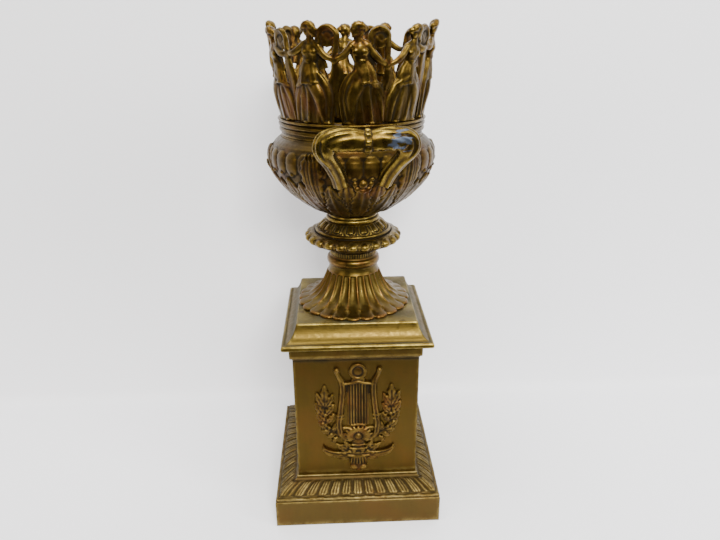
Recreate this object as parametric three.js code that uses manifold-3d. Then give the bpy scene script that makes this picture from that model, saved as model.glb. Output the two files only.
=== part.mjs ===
// A mantel urn on a square plinth, cast in thin metal and painted the colour of old bronze.
// Millimetres, +Z up. The origin is the middle of the underside, and the front faces -Y.
import * as THREE from "three";
import { mergeVertices } from "three/addons/utils/BufferGeometryUtils.js";
import Module from "manifold-3d";

const wasm = await Module();
wasm.setup();

// Heights of the seams between the castings.
const BASE_TOP = 38.5;
const DIE_TOP = 165;
const CAP_TOP = 185;
const FOOT_TOP = 228;
const KNOP_TOP = 263;
const COLLAR_BOTTOM = 328.2;
const COLLAR_TOP = 341;

// The sizes below draw the urn on a base 140 wide. Every width is then spread by this share.
const SPREAD = 1.016;

// Plinth. The cap was fixed a little to the right of the middle.
const BASE_HALF = 70;
const DIE_HALF = 51.1;
const CAP_SHIFT = 1.2;
const FLANGE_HALF = 53.5;
const LIP_HALF = 60.15;
const PLATEAU_HALF = 47.5;
const WALL = 3.2;
const LEAVES_A_SIDE = 13;

// Urn.
const URN_TURN_DEG = 5.3;
const FLUTES = 24;
const FLUTE_DEPTH = 2;
const EGGS = 24;
const TONGUES = 15;
const LOBES = 32;
const LOBE_DEPTH = 1.5;
const LOBE_BOTTOM = 305;
const LOBE_TOP = 321.5;
const TALL_LEAVES_DEG = [-90, -34, 34, 90, 146, 214];
const TALL_LEAF_HALF_DEG = 13;
const SEAM_GAP = 0.3;

// Crown of dancers.
const DANCERS = 10;
const CROWN_RADIUS = 52.6;
const CROWN_FLARE = 0.122;
const PANEL_RADIUS = 58;
const HALF_PANEL = (Math.PI * PANEL_RADIUS) / DANCERS;

// Lyre on the front of the die.
const LYRE_OFFSET = 1.2;
const LYRE_DEPTH = 3;

const TAU = 2 * Math.PI;
const radians = THREE.MathUtils.degToRad;
const mix = THREE.MathUtils.lerp;
const smooth = THREE.MathUtils.smoothstep;
const at = (x, y, z = 0) => new THREE.Vector3(x, y, z);

const finish = (colour, roughness) =>
  new THREE.MeshStandardMaterial({ color: colour, roughness, metalness: 0.75 });
const bronze = finish(0x7a5d22, 0.42);
const dullBronze = finish(0x6b5526, 0.55);
const crownBronze = finish(0x856427, 0.4);

// Profile helpers: a point is a radius, or half of a side, and a height.
const point = (out, height) => new THREE.Vector2(out, height);
const outline = (pairs) => pairs.map(([out, height]) => point(out, height));

function roundMould(out, low, high, bulge, steps = 4) {
  const middle = (low + high) / 2;
  const half = (high - low) / 2;
  return Array.from({ length: steps + 1 }, (_, i) => {
    const angle = -Math.PI / 2 + (Math.PI * i) / steps;
    return point(out + bulge * Math.cos(angle), middle + half * Math.sin(angle));
  });
}

function hollowCurve(from, pull, to, steps = 6) {
  const curve = new THREE.QuadraticBezierCurve(point(...from), point(...pull), point(...to));
  return curve.getPoints(steps);
}

// Geometry helpers.
function closed(geometry) {
  const bare = geometry.index ? geometry.toNonIndexed() : geometry.clone();
  bare.deleteAttribute("normal");
  bare.deleteAttribute("uv");
  return mergeVertices(bare, 1e-3);
}

function reshape(geometry, move) {
  const places = geometry.attributes.position;
  const v = new THREE.Vector3();
  for (let i = 0; i < places.count; i += 1) {
    v.fromBufferAttribute(places, i);
    move(v);
    places.setXYZ(i, v.x, v.y, v.z);
  }
  return geometry;
}

function toSolid(geometry) {
  const merged = closed(geometry);
  return new wasm.Manifold(
    new wasm.Mesh({
      numProp: 3,
      vertProperties: merged.attributes.position.array,
      triVerts: new Uint32Array(merged.index.array),
    }),
  );
}

function toGeometry(solid) {
  const { vertProperties, triVerts } = solid.getMesh();
  const geometry = new THREE.BufferGeometry();
  geometry.setAttribute("position", new THREE.BufferAttribute(vertProperties, 3));
  geometry.setIndex(new THREE.BufferAttribute(triVerts, 1));
  geometry.computeVertexNormals();
  return geometry;
}

function join(geometries) {
  const [first, ...rest] = geometries.map(toSolid);
  return toGeometry(rest.reduce((sum, solid) => sum.add(solid), first));
}

function cut(geometry, tool) {
  return toGeometry(toSolid(geometry).subtract(toSolid(tool)));
}

// A profile turned round Z. The first corner of the section faces the front.
function turned(profile, segments) {
  return new THREE.LatheGeometry(profile, segments).rotateX(Math.PI / 2);
}

// A profile carried round a square: its first numbers are halves of the side.
function squared(profile) {
  const corners = profile.map((p) => point(p.x * Math.SQRT2, p.y));
  return turned(corners, 4).rotateZ(Math.PI / 4);
}

// Moves each corner of a turned body in or out by relief(azimuth, height, radius).
function carved(geometry, relief) {
  return reshape(geometry, (v) => {
    const radius = Math.hypot(v.x, v.y);
    if (radius < 1e-6) return;
    const azimuth = Math.atan2(v.x, -v.y);
    const scale = (radius + relief(azimuth, v.z, radius)) / radius;
    v.x *= scale;
    v.y *= scale;
  });
}

// A value read from evenly spaced stops along a body.
function along(t, stops) {
  const place = Math.min(Math.max(t, 0), 1) * (stops.length - 1);
  const i = Math.min(Math.floor(place), stops.length - 2);
  return mix(stops[i], stops[i + 1], place - i);
}

// A body swept along a curve. Its section lies across the curve and along the outward direction.
function swept(places, section, { sides = 6, steps = 4, outward = at(0, 0, 1) } = {}) {
  const curve = new THREE.CatmullRomCurve3(places);
  return reshape(new THREE.CylinderGeometry(1, 1, 1, sides, steps), (v) => {
    const t = Math.min(Math.max(v.y + 0.5, 0), 1);
    const reach = Math.hypot(v.x, v.z);
    const angle = Math.atan2(v.z, v.x);
    const [across, depth] = section(t, angle);
    const tangent = curve.getTangentAt(t);
    const side = tangent.clone().cross(outward).normalize();
    const out = side.clone().cross(tangent);
    v.copy(curve.getPointAt(t));
    v.addScaledVector(side, reach * across * Math.cos(angle));
    v.addScaledVector(out, reach * depth * Math.sin(angle));
  });
}

const tapered = (acrossStops, depthStops) => (t) => [along(t, acrossStops), along(t, depthStops)];

function lump(place, size, sides = 6, rows = 4) {
  return new THREE.SphereGeometry(1, sides, rows).scale(...size).translate(...place);
}

// A leaf with a ridge down its middle, before it is tilted and placed.
function ridgedLeaf(halfWidth, halfLength, thickness) {
  return new THREE.OctahedronGeometry(1).scale(halfWidth, halfLength, thickness);
}

// Plinth base: a square block under a sloping course of upright leaves, open below.
function plinthBase() {
  const outside = outline([
    [BASE_HALF, 0], [BASE_HALF, 25], [69.2, 25.5], [69.2, 26], [69.8, 26.4], [69.5, 28],
    [66.6, 28.3], [63.5, 30.6], [58.5, 33.8], [53.6, 35.4], [52.2, 36], [52.2, 38], [51.6, BASE_TOP],
  ]);
  const inside = outline([
    [44, BASE_TOP], [44, 34], [62, 25], [BASE_HALF - 4, 21], [BASE_HALF - 4, 0], [BASE_HALF, 0],
  ]);
  const pieces = [squared([...outside, ...inside])];
  const pitch = (2 * 61) / LEAVES_A_SIDE;
  const slope = Math.atan2(6.4, 11);
  for (let side = 0; side < 4; side += 1) {
    for (let i = 0; i < LEAVES_A_SIDE; i += 1) {
      const u = (i - (LEAVES_A_SIDE - 1) / 2) * pitch * 0.96;
      const leaf = new THREE.ConeGeometry(pitch * 0.5, 14, 3).scale(1, 1, 0.55).rotateX(slope);
      pieces.push(leaf.translate(u * 0.97, -60, 32).rotateZ((side * Math.PI) / 2));
    }
    const mitre = ridgedLeaf(4.6, 10, 2.2).rotateX(Math.atan2(6.4, 15.5));
    pieces.push(mitre.translate(0, -85.6, 32).rotateZ(((side + 0.5) * Math.PI) / 2));
  }
  return join(pieces);
}

// Plinth die: a square tube with a projecting flange at its top.
function plinthDie() {
  return squared(outline([
    [DIE_HALF, BASE_TOP], [DIE_HALF, 154], [51.7, 154.2], [51.7, 155.6], [FLANGE_HALF, 156],
    [FLANGE_HALF, DIE_TOP], [DIE_HALF - WALL, DIE_TOP], [DIE_HALF - WALL, BASE_TOP],
    [DIE_HALF, BASE_TOP],
  ]));
}

// Plinth cap: a lip with a thin bead, a hollow-curved rise and a flat top, open below.
function plinthCap() {
  return squared([
    ...outline([[50, DIE_TOP], [50, 166.4], [59.7, 166.5]]),
    ...outline([[LIP_HALF, 167], [LIP_HALF, 169.4], [59.5, 170.4], [58, 170.5], [57.2, 169.9]]),
    ...hollowCurve([56.4, 170.3], [51.2, 172.2], [48, 183.6], 5),
    ...outline([[PLATEAU_HALF, CAP_TOP], [0, CAP_TOP], [0, CAP_TOP - WALL]]),
    ...outline([[44, CAP_TOP - WALL], [47, 172], [47, DIE_TOP], [50, DIE_TOP]]),
  ]);
}

// Foot: a fluted bell with a scalloped lip, open below, and a ring under the knop.
function foot() {
  const outside = [
    ...outline([[46.2, CAP_TOP], [47, 186.4], [45, 187.7]]),
    ...hollowCurve([41.6, 188.8], [26.8, 194.5], [21.2, 212.6], 3),
    ...outline([[20.2, 214.6], [20, 219.8]]),
    ...roundMould(20, 220.4, 226.8, 1.8, 2),
    point(19.4, FOOT_TOP),
  ];
  const inside = outline([
    [16, FOOT_TOP], [17, 212], [20.6, 202], [29, 192.2], [42.4, CAP_TOP], [46.2, CAP_TOP],
  ]);
  const bell = turned([...outside, ...inside], 2 * FLUTES);
  return carved(bell, (azimuth, z, radius) => {
    const wall = along((z - CAP_TOP) / (FOOT_TOP - CAP_TOP), [43.9, 35, 27.8, 23.6, 21, 19, 18, 18, 17.5]);
    if (radius < wall || z > 213) return 0;
    const ridge = 0.5 + 0.5 * Math.cos(FLUTES * azimuth);
    if (z < 188) return -1.6 * ridge;
    return -FLUTE_DEPTH * (1 - ridge) * smooth(z, 187.5, 192) * (1 - smooth(z, 212, 213));
  });
}

// Knop: a ribbed stem, a disc edged with eggs, and a cone of tongues below the bowl, hollow inside.
function knop() {
  const rows = [
    ...outline([[19, FOOT_TOP], [19, 232], [37.6, 241.8]]),
    ...outline([[39.4, 244.4], [37.6, 247.2], [32.6, 248.9]]),
  ];
  const inner = outline([[29, 246.4], [14.5, 240], [14.5, FOOT_TOP], [19, FOOT_TOP]]);
  const disc = carved(turned([...rows, ...inner], 2 * EGGS), (azimuth, z, radius) => {
    if (radius < 18.9) return 0;
    const crest = 0.5 + 0.5 * Math.cos(EGGS * azimuth);
    if (z < 233) return -0.7 * (1 - crest);
    return -1.5 * (1 - crest) * smooth(z, 240, 242) * (1 - smooth(z, 248, 248.6));
  });
  const cone = carved(
    turned([
      ...outline([[28, 246.2], [31, 248.6], [30.2, 250.5], [27.8, 251.6], [22.4, 256.4]]),
      ...outline([[22, 258.4], [20, 259.4], [20, KNOP_TOP], [15.4, KNOP_TOP], [15.4, 249], [28, 246.2]]),
    ], 2 * TONGUES),
    (azimuth, z, radius) => {
      const onCone = z > 251 && z < 257 && radius > 21.5;
      return onCone ? 0.9 * Math.cos(TONGUES * azimuth) : 0;
    },
  );
  return join([disc, cone]);
}

// The relief of the bowl: lobes above, a ring of upright leaves below, and tall leaves between.
function bowlRelief(azimuth, z, radius) {
  const lobe = 0.5 + 0.5 * Math.cos(LOBES * azimuth);
  const band = smooth(z, LOBE_BOTTOM - 2, LOBE_BOTTOM + 1.5) * (1 - smooth(z, LOBE_TOP - 2, LOBE_TOP + 1));
  let relief = -LOBE_DEPTH * (1 - lobe) * band;
  const low = smooth(z, 267, 274) * (1 - smooth(z, 297, LOBE_BOTTOM - 1));
  relief += 0.9 * low * Math.cos((LOBES / 2) * azimuth);
  for (const degrees of TALL_LEAVES_DEG) {
    const turn = THREE.MathUtils.euclideanModulo(azimuth - radians(degrees) + Math.PI, TAU) - Math.PI;
    const across = Math.abs(turn) / radians(TALL_LEAF_HALF_DEG);
    const height = smooth(z, 278, 292) * (1 - smooth(z, 316, 323));
    relief += Math.max(0, 1 - across) * height * 2.2;
  }
  return radius > 23 ? relief : 0;
}

const BOWL_OUTSIDE = [
  [19.8, KNOP_TOP], [19.8, 264.4], [31, 269.6], [42.6, 278], [52, 287],
  [59.6, 296.4], [63.2, 303.2], [64.3, 309], [63.9, 316.6], [61.4, 321.6],
  [56.8, 326], [54.6, COLLAR_BOTTOM],
];

// Bowl: an open vessel with a thin wall and a flat bottom inside.
function bowl() {
  const inside = outline([[51.4, COLLAR_BOTTOM], [59.8, 310], [57, 299], [45, 284], [0, 267.6]]);
  const vessel = turned([point(0, KNOP_TOP), ...outline(BOWL_OUTSIDE), ...inside], 2 * LOBES);
  const body = carved(vessel, (azimuth, z, radius) => {
    const wall = along((z - KNOP_TOP) / (COLLAR_BOTTOM - KNOP_TOP), [14, 27, 40, 50, 58, 61, 60, 53]);
    return radius > wall ? bowlRelief(azimuth, z, radius) : 0;
  });
  const tips = [-90, 90].flatMap((degrees) => {
    return [-3.6, 3.6].map((turn) => {
      return lump([0, -64.6, 307], [3.4, 2.6, 2.8], 4, 3).rotateZ(radians(degrees + turn));
    });
  });
  const boss = [0, 180].map((degrees) => {
    const disc = lump([0, 0, 0], [6.6, 3, 6.6], 7, 4).rotateX(-0.35);
    return disc.translate(0, -62, 300).rotateZ(radians(degrees));
  });
  return join([body, ...tips, ...boss]);
}

// Handle: two reeded arms rise from the bowl to a bar wrapped by two leaves that meet at a band.
function handle() {
  const arm = [at(14.5, -56, 298), at(17.2, -62.5, 306), at(22, -71, 316), at(27.8, -79, 327)];
  const bar = [at(25.6, -81.5, 335.8), at(13, -82.2, 336.6)];
  const right = [...arm, ...bar];
  const left = right.map((p) => at(-p.x, p.y, p.z));
  const section = (t) => {
    const fromMiddle = Math.abs(t - 0.5) * 2;
    const onBar = 1 - smooth(fromMiddle, 0.42, 0.6);
    const band = 1 - smooth(fromMiddle, 0.02, 0.09);
    return [mix(5.2, 7.7, onBar) - 0.7 * band, mix(4.1, 5.1, onBar) - 0.4 * band];
  };
  const options = { sides: 7, steps: 20, outward: at(0, -1, 0) };
  const loop = swept([...left, at(0, -82.4, 335.8), ...right.reverse()], section, options);
  const nearBowl = BOWL_OUTSIDE.map(([out, height]) => [out + 2.2 + SEAM_GAP, height]);
  const space = [point(0, KNOP_TOP), ...outline(nearBowl), point(0, COLLAR_BOTTOM)];
  return cut(loop, turned(space, 2 * LOBES));
}

// Heights at which neighbouring dancers join hands, one for each gap in a set of five.
const LINKS = [39, 51, 35, 47, 43];

// Five dancers, in millimetres across and up from the middle of the panel's foot. The hem is the
// left and right reach of the skirt, the knee is where it bulges, and the bow is the middle of the
// scarf that flies over the right arm.
const DANCER_POSES = [
  { hip: [1, 36], chest: [-1.5, 48.5], head: [-3.4, 61], hem: [-15, 15.5], knee: -4, bow: [11.5, 56] },
  { hip: [0, 35], chest: [2.5, 47], head: [5, 59.5], hem: [-15.5, 15.5], knee: 4, bow: [14, 57] },
  { hip: [-1, 36.5], chest: [-0.5, 49.5], head: [1.4, 62.8], hem: [-15, 15], knee: -3, bow: [12, 56] },
  { hip: [1.5, 35], chest: [-1, 46.5], head: [-4.5, 58.6], hem: [-15.5, 14.5], knee: -4, bow: [11.5, 55] },
  { hip: [-1, 36], chest: [1.5, 48.5], head: [3, 61.6], hem: [-15, 15], knee: 4, bow: [14, 57] },
];

const poseOf = (index) => DANCER_POSES[index % DANCER_POSES.length];

function skirt(pose) {
  const middle = (pose.hem[0] + pose.hem[1]) / 2;
  const reach = (pose.hem[1] - pose.hem[0]) / 2;
  const path = [
    at(mix(pose.hip[0], pose.chest[0], 0.5), mix(pose.hip[1], pose.chest[1], 0.5)),
    at(pose.hip[0], pose.hip[1] - 2, 0.3),
    at(pose.knee * 0.8, 20, 1),
    at(middle, -1),
  ];
  const section = (t, angle) => {
    const pleat = 1 + 0.1 * t * Math.cos(4 * angle);
    return [along(t, [4.8, 9.2, 0.85 * reach + 1, reach]) * pleat, along(t, [3, 4.2, 4.3, 3.6]) * pleat];
  };
  return swept(path, section, { sides: 7, steps: 3 });
}

function torsoAndHead(pose) {
  const [chestU, chestV] = pose.chest;
  const [headU, headV] = pose.head;
  const spine = [
    at(pose.hip[0], pose.hip[1] - 2),
    at(chestU, chestV + 1, 0.4),
    at(mix(chestU, headU, 0.6), mix(chestV + 2, headV, 0.6)),
    at(headU, headV + 1.5, 0.5),
    at(headU, headV + 6.6, 0.3),
  ];
  const across = [7, 5.4, 7.2, 7, 2.8, 4.6, 5, 2.4];
  const depth = [3.8, 3.2, 4, 3.2, 2.4, 4.2, 4.1, 2.2];
  return swept(spine, tapered(across, depth), { sides: 5, steps: 6 });
}

// The free end of the scarf, which hangs from the joined hands.
function hangingScarf(hands, index) {
  const bottom = 6 + 4 * (index % 2);
  const path = [hands, at(hands.x, mix(hands.y, bottom, 0.5)), at(hands.x, bottom, -0.4)];
  return swept(path, tapered([1.8, 4.2, 5, 3], [1.6, 1.8, 1.8, 1.2]), { sides: 4, steps: 3 });
}

// The two arms that join a dancer to the next one, and the scarf that flies above them.
function joinedArms(index) {
  const pose = poseOf(index);
  const next = poseOf(index + 1);
  const panel = 2 * HALF_PANEL;
  const from = at(pose.chest[0] + 2.6, pose.chest[1] + 3);
  const to = at(panel + next.chest[0] - 2.6, next.chest[1] + 3);
  const hands = at(HALF_PANEL, LINKS[index % LINKS.length], 0.8);
  const elbow = (shoulder) => shoulder.clone().lerp(hands, 0.5).add(at(0, -1.6, 1));
  const girth = [3, 2.6, 2.1, 2.6, 3];
  const arms = swept([from, elbow(from), hands, elbow(to), to], tapered(girth, girth), { sides: 4 });
  const bow = Array.from({ length: 5 }, (_, i) => {
    const angle = radians(190 - 50 * i);
    return at(pose.bow[0] + 6.2 * Math.cos(angle), pose.bow[1] + 6.6 * Math.sin(angle));
  });
  const loop = swept([from, ...bow, hands], () => [2.3, 2], { sides: 3, steps: 6 });
  return [arms, loop, hangingScarf(hands, index)];
}

// One dancer, flat, with the front towards +Z.
function dancer(index) {
  return [skirt(poseOf(index)), torsoAndHead(poseOf(index)), ...joinedArms(index)];
}

// Bends a flat dancer round the flaring crown.
function bent(geometry, turn) {
  return reshape(geometry, (v) => {
    const azimuth = turn + v.x / PANEL_RADIUS;
    const radius = CROWN_RADIUS + CROWN_FLARE * v.y + v.z;
    v.set(radius * Math.sin(azimuth), -radius * Math.cos(azimuth), COLLAR_TOP + v.y);
  });
}

// Rim: a reeded collar with the ring of dancers standing on it, cast in one piece.
function rimGallery() {
  const collar = turned([
    ...outline([[54.2, COLLAR_BOTTOM], [54.2, 330.6]]),
    ...roundMould(54.6, 331, 335, 1.1, 2),
    ...roundMould(54.6, 335.2, 338.8, 1.2, 2),
    ...outline([[56.2, 339.8], [56.2, COLLAR_TOP], [50, COLLAR_TOP], [50, 331]]),
    ...outline([[51.4, COLLAR_BOTTOM], [54.2, COLLAR_BOTTOM]]),
  ], 36);
  const figures = Array.from({ length: DANCERS }, (_, i) => {
    return dancer(i).map((piece) => bent(piece, (i * TAU) / DANCERS));
  });
  return join([collar, ...figures.flat()]);
}

// Lyre relief: across from its own middle, up from the ground and out from the die.
const onDie = (u, z, out = 0) => at(LYRE_OFFSET + u, -DIE_HALF - out, z);

function strip(places, halfWidth, thickness, steps = 4) {
  const path = places.map(([u, z]) => onDie(u, z, thickness / 2));
  const section = (t) => [along(t, halfWidth), thickness / 2];
  return swept(path, section, { sides: 4, steps, outward: at(0, -1, 0) });
}

function lyreHalf(side) {
  const turn = (pairs) => pairs.map(([u, z]) => [side * u, z]);
  const arms = turn([[17, 143], [12.6, 137], [13, 128], [14, 114], [15.4, 100], [15.8, 88], [13, 76]]);
  const sprig = turn([[12, 79], [24, 84], [31, 98], [31, 114], [29, 129]]);
  const tray = turn([[0, 59.5], [14, 60], [24, 62], [30, 66]]);
  const leaves = [[30, 122, 0.5], [33, 111, -0.4], [28, 103, 0.6], [30, 90, -0.6], [22, 83, 0.9]];
  return [
    strip(arms, [1.2, 2.2, 2.4, 2.4, 2.6], LYRE_DEPTH, 6),
    strip(sprig, [1.1, 1.3, 1.3, 1.1, 0.9], 1.8, 4),
    strip(tray, [3, 2.6, 2, 2.2], LYRE_DEPTH, 3),
    ...leaves.map(([u, z, lean]) => {
      const leaf = ridgedLeaf(4, 6.5, 2.4).rotateX(Math.PI / 2);
      return leaf.rotateY(side * lean).translate(...onDie(side * u, z, 0.6));
    }),
  ];
}

function lyreMount() {
  const ring = swept(
    Array.from({ length: 9 }, (_, i) => {
      const angle = (i / 8) * TAU * 0.96;
      return onDie(5 * Math.sin(angle), 142.6 - 5.4 * Math.cos(angle), 1.3);
    }),
    () => [1.5, 1.3],
    { sides: 4, steps: 10, outward: at(0, -1, 0) },
  );
  const strings = Array.from({ length: 6 }, (_, i) => {
    const u = (i - 2.5) * 2.5;
    return new THREE.BoxGeometry(1.1, 2.4, 40).translate(...onDie(u, 111, 0.4));
  });
  const plate = new THREE.Shape(outline([
    [-9, 86], [9, 86], [12, 78], [9, 66], [7, 58], [8.5, 50], [0, 43], [-8.5, 50], [-7, 58], [-9, 66],
    [-12, 78],
  ]));
  const body = new THREE.ExtrudeGeometry(plate, { depth: 1.6, bevelEnabled: false });
  body.rotateX(Math.PI / 2).translate(LYRE_OFFSET, -DIE_HALF, 0);
  const all = [
    body,
    ring,
    new THREE.BoxGeometry(27, LYRE_DEPTH, 2.4).translate(...onDie(0, 131.4, LYRE_DEPTH / 2)),
    new THREE.BoxGeometry(33, LYRE_DEPTH, 2.6).translate(...onDie(0, 90.6, LYRE_DEPTH / 2)),
    new THREE.BoxGeometry(5, 1.6, 6).translate(...onDie(0, 134.4, 0.8)),
    lump(onDie(0, 79).toArray(), [8.5, 4, 8], 8, 4),
    lump(onDie(0, 50).toArray(), [6.5, 3.4, 6], 6, 4),
    ...strings,
    ...lyreHalf(1),
    ...lyreHalf(-1),
  ];
  const die = new THREE.BoxGeometry(120, 40, 160).translate(0, -DIE_HALF + 20, 80);
  return cut(join(all), die);
}

function named(name, geometry, material) {
  const mesh = new THREE.Mesh(geometry.scale(SPREAD, SPREAD, 1), material);
  mesh.name = name;
  return mesh;
}

const group = new THREE.Group();
group.add(named("plinth_base", plinthBase(), bronze));
group.add(named("plinth_die", plinthDie(), bronze));
group.add(named("plinth_cap", plinthCap().translate(CAP_SHIFT, 0, 0), dullBronze));
group.add(named("lyre_mount", lyreMount(), bronze));

const urn = new THREE.Group();
urn.rotation.z = radians(URN_TURN_DEG);
urn.add(named("foot", foot(), bronze));
urn.add(named("knop", knop(), bronze));
urn.add(named("bowl", bowl(), bronze));
urn.add(named("rim_gallery", rimGallery(), crownBronze));
const front = named("handle_front", handle(), bronze);
const back = named("handle_back", handle(), bronze);
back.rotation.z = Math.PI;
urn.add(front, back);
group.add(urn);

export default group;
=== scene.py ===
# %% [markdown]
# A mantel urn stands on a square plinth. Every part is a thin casting, painted the colour of old
# bronze. The fixed model gives the castings' places and sizes; here each one gets its fine surface.

# %% Load the frame
import math

import bmesh
import bpy
import numpy as np
from mathutils import Matrix, Quaternion, Vector


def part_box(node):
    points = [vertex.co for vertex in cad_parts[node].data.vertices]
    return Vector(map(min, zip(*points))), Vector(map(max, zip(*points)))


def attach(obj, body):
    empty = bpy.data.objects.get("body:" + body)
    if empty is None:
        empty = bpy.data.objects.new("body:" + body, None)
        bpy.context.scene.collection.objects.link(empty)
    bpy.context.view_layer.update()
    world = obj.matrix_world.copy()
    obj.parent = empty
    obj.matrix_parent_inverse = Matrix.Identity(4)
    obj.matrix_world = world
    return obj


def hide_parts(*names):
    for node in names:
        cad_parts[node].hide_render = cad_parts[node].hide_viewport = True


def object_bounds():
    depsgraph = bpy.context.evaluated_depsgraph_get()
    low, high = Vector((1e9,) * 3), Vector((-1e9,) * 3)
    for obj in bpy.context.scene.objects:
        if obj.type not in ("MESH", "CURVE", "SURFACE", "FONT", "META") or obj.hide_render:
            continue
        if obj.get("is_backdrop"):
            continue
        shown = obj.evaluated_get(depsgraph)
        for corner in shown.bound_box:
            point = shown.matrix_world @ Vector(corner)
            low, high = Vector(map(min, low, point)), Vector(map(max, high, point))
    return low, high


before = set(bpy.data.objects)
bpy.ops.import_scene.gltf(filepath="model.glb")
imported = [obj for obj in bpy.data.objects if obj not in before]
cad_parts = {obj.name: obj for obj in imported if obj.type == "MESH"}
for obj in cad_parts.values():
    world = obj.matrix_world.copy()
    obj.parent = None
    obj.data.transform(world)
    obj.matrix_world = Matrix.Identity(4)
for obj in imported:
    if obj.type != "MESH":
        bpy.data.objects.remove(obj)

MM = 0.001
TAU = 2 * math.pi
cad_box = [list(corner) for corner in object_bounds()]
print("model height", round(cad_box[1][2] / MM, 1), "mm")

# %% [markdown]
# The seams between the castings are read from the fixed model, so that no casting can drift. The
# castings are drawn here on a base 140 mm wide, and all widths are spread to the model's at the end.

# %% Seams and driving sizes
BASE_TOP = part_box("plinth_base")[1].z / MM
DIE_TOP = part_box("plinth_die")[1].z / MM
CAP_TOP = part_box("plinth_cap")[1].z / MM
FOOT_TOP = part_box("foot")[1].z / MM
KNOP_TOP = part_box("knop")[1].z / MM
COLLAR_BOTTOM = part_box("bowl")[1].z / MM
COLLAR_TOP = 341.0
BASE_HALF = 70.0
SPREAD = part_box("plinth_base")[1].x / MM / BASE_HALF
DIE_HALF = 51.1
CAP_LEFT, CAP_RIGHT = (corner.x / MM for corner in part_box("plinth_cap"))
CAP_SHIFT = (CAP_LEFT + CAP_RIGHT) / 2 / SPREAD
LIP_HALF = (CAP_RIGHT - CAP_LEFT) / 2 / SPREAD
URN_TURN = math.radians(5.3)
print("seams at", [round(z, 1) for z in (BASE_TOP, DIE_TOP, CAP_TOP, FOOT_TOP, KNOP_TOP, COLLAR_BOTTOM)])

# %% [markdown]
# The camera comes first. It stands a little to the left, at the height of the crown, and looks
# down through a fairly wide lens, so the crown is seen nearly level and the plinth narrows downwards.

# %% Camera
CAMERA_AT = Vector((-14.3, -478.9, 400.5)) * MM
CAMERA_LOOK = Vector((0.0389, 0.9293, -0.3678))
CAMERA_ROLL = math.radians(-0.35)
LENS = 29.97

camera = bpy.data.objects.new("camera", bpy.data.cameras.new("camera"))
camera.data.lens = LENS
camera.data.sensor_width = 36
camera.data.clip_start = 0.01
camera.location = CAMERA_AT
camera.rotation_mode = "QUATERNION"
camera.rotation_quaternion = CAMERA_LOOK.to_track_quat("-Z", "Y") @ Quaternion((0, 0, 1), CAMERA_ROLL)
bpy.context.scene.collection.objects.link(camera)
bpy.context.scene.camera = camera

# %% [markdown]
# A casting is turned, swept or laid out flat, and then its relief is pushed into the fine mesh.
# These helpers hold the steps that the castings share. Sizes are in millimetres up to the mesh.

# %% Profiles
def fine(profile, gap):
    """The profile's points with more between them, so that no step is longer than the gap."""
    points = [profile[0]]
    for (r0, z0), (r1, z1) in zip(profile, profile[1:]):
        count = max(1, math.ceil(math.hypot(r1 - r0, z1 - z0) / gap))
        points += [(r0 + (r1 - r0) * i / count, z0 + (z1 - z0) * i / count) for i in range(1, count + 1)]
    return points


def rounded(profile, passes=2):
    """The profile with its inner corners cut off in each pass, so that it becomes a smooth curve."""
    for _ in range(passes):
        cut = [profile[0]]
        for a, b in zip(profile, profile[1:]):
            cut.append((a[0] * 0.75 + b[0] * 0.25, a[1] * 0.75 + b[1] * 0.25))
            cut.append((a[0] * 0.25 + b[0] * 0.75, a[1] * 0.25 + b[1] * 0.75))
        profile = cut + [profile[-1]]
    return profile


def bead(out, low, high, bulge, steps=8):
    """A half-round moulding between two heights."""
    angles = [-math.pi / 2 + math.pi * i / steps for i in range(steps + 1)]
    middle, half = (low + high) / 2, (high - low) / 2
    return [(out + bulge * math.cos(a), middle + half * math.sin(a)) for a in angles]


# %% Turning and sweeping
def turned(profile, steps, doublings=4):
    """The profile spun round the urn's axis: one sector is spun, then copied round to fill the turn."""
    bm = bmesh.new()
    sectors = 2**doublings
    verts = [bm.verts.new((0, -r * MM, z * MM)) for r, z in profile]
    edges = [bm.edges.new(pair) for pair in zip(verts, verts[1:])]
    bmesh.ops.spin(
        bm, geom=verts + edges, cent=(0, 0, 0), axis=(0, 0, 1), angle=TAU / sectors, steps=steps // sectors)
    for k in range(doublings):
        copy = bmesh.ops.duplicate(bm, geom=bm.verts[:] + bm.edges[:] + bm.faces[:])["geom"]
        round_by = Matrix.Rotation(TAU / sectors * 2**k, 3, "Z")
        moved = [g for g in copy if isinstance(g, bmesh.types.BMVert)]
        bmesh.ops.rotate(bm, verts=moved, cent=(0, 0, 0), matrix=round_by)
    bmesh.ops.remove_doubles(bm, verts=bm.verts, dist=1e-6)
    return bm


def squared(profile, cuts):
    """The profile carried round a square, with each side cut into short lengths for its relief."""
    bm = turned([(half * math.sqrt(2), z) for half, z in profile], 4, doublings=2)
    bmesh.ops.rotate(bm, verts=bm.verts, cent=(0, 0, 0), matrix=Matrix.Rotation(TAU / 8, 3, "Z"))
    level = [e for e in bm.edges if abs(e.verts[0].co.z - e.verts[1].co.z) < 1e-7 and e.calc_length() > 0.02]
    along = [e for e in level if min(abs(d) for d in (e.verts[0].co - e.verts[1].co).xy) < 1e-6]
    bmesh.ops.subdivide_edges(bm, edges=along, cuts=cuts, use_grid_fill=True)
    return bm


def route(points, t):
    """A smooth path through the points, read at t from 0 to 1."""
    points = np.array(points, float)
    if len(points) == 2:
        return points[0] + (points[1] - points[0]) * t
    place = min(max(t, 0.0), 1.0) * (len(points) - 1)
    i = min(int(place), len(points) - 2)
    x = place - i
    a = points[i - 1] if i else 2 * points[0] - points[1]
    b, c = points[i], points[i + 1]
    d = points[i + 2] if i + 2 < len(points) else 2 * points[-1] - points[-2]
    return 0.5 * (2 * b + (c - a) * x + (2 * a - 5 * b + 4 * c - d) * x**2 + (3 * b - a - 3 * c + d) * x**3)


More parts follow.
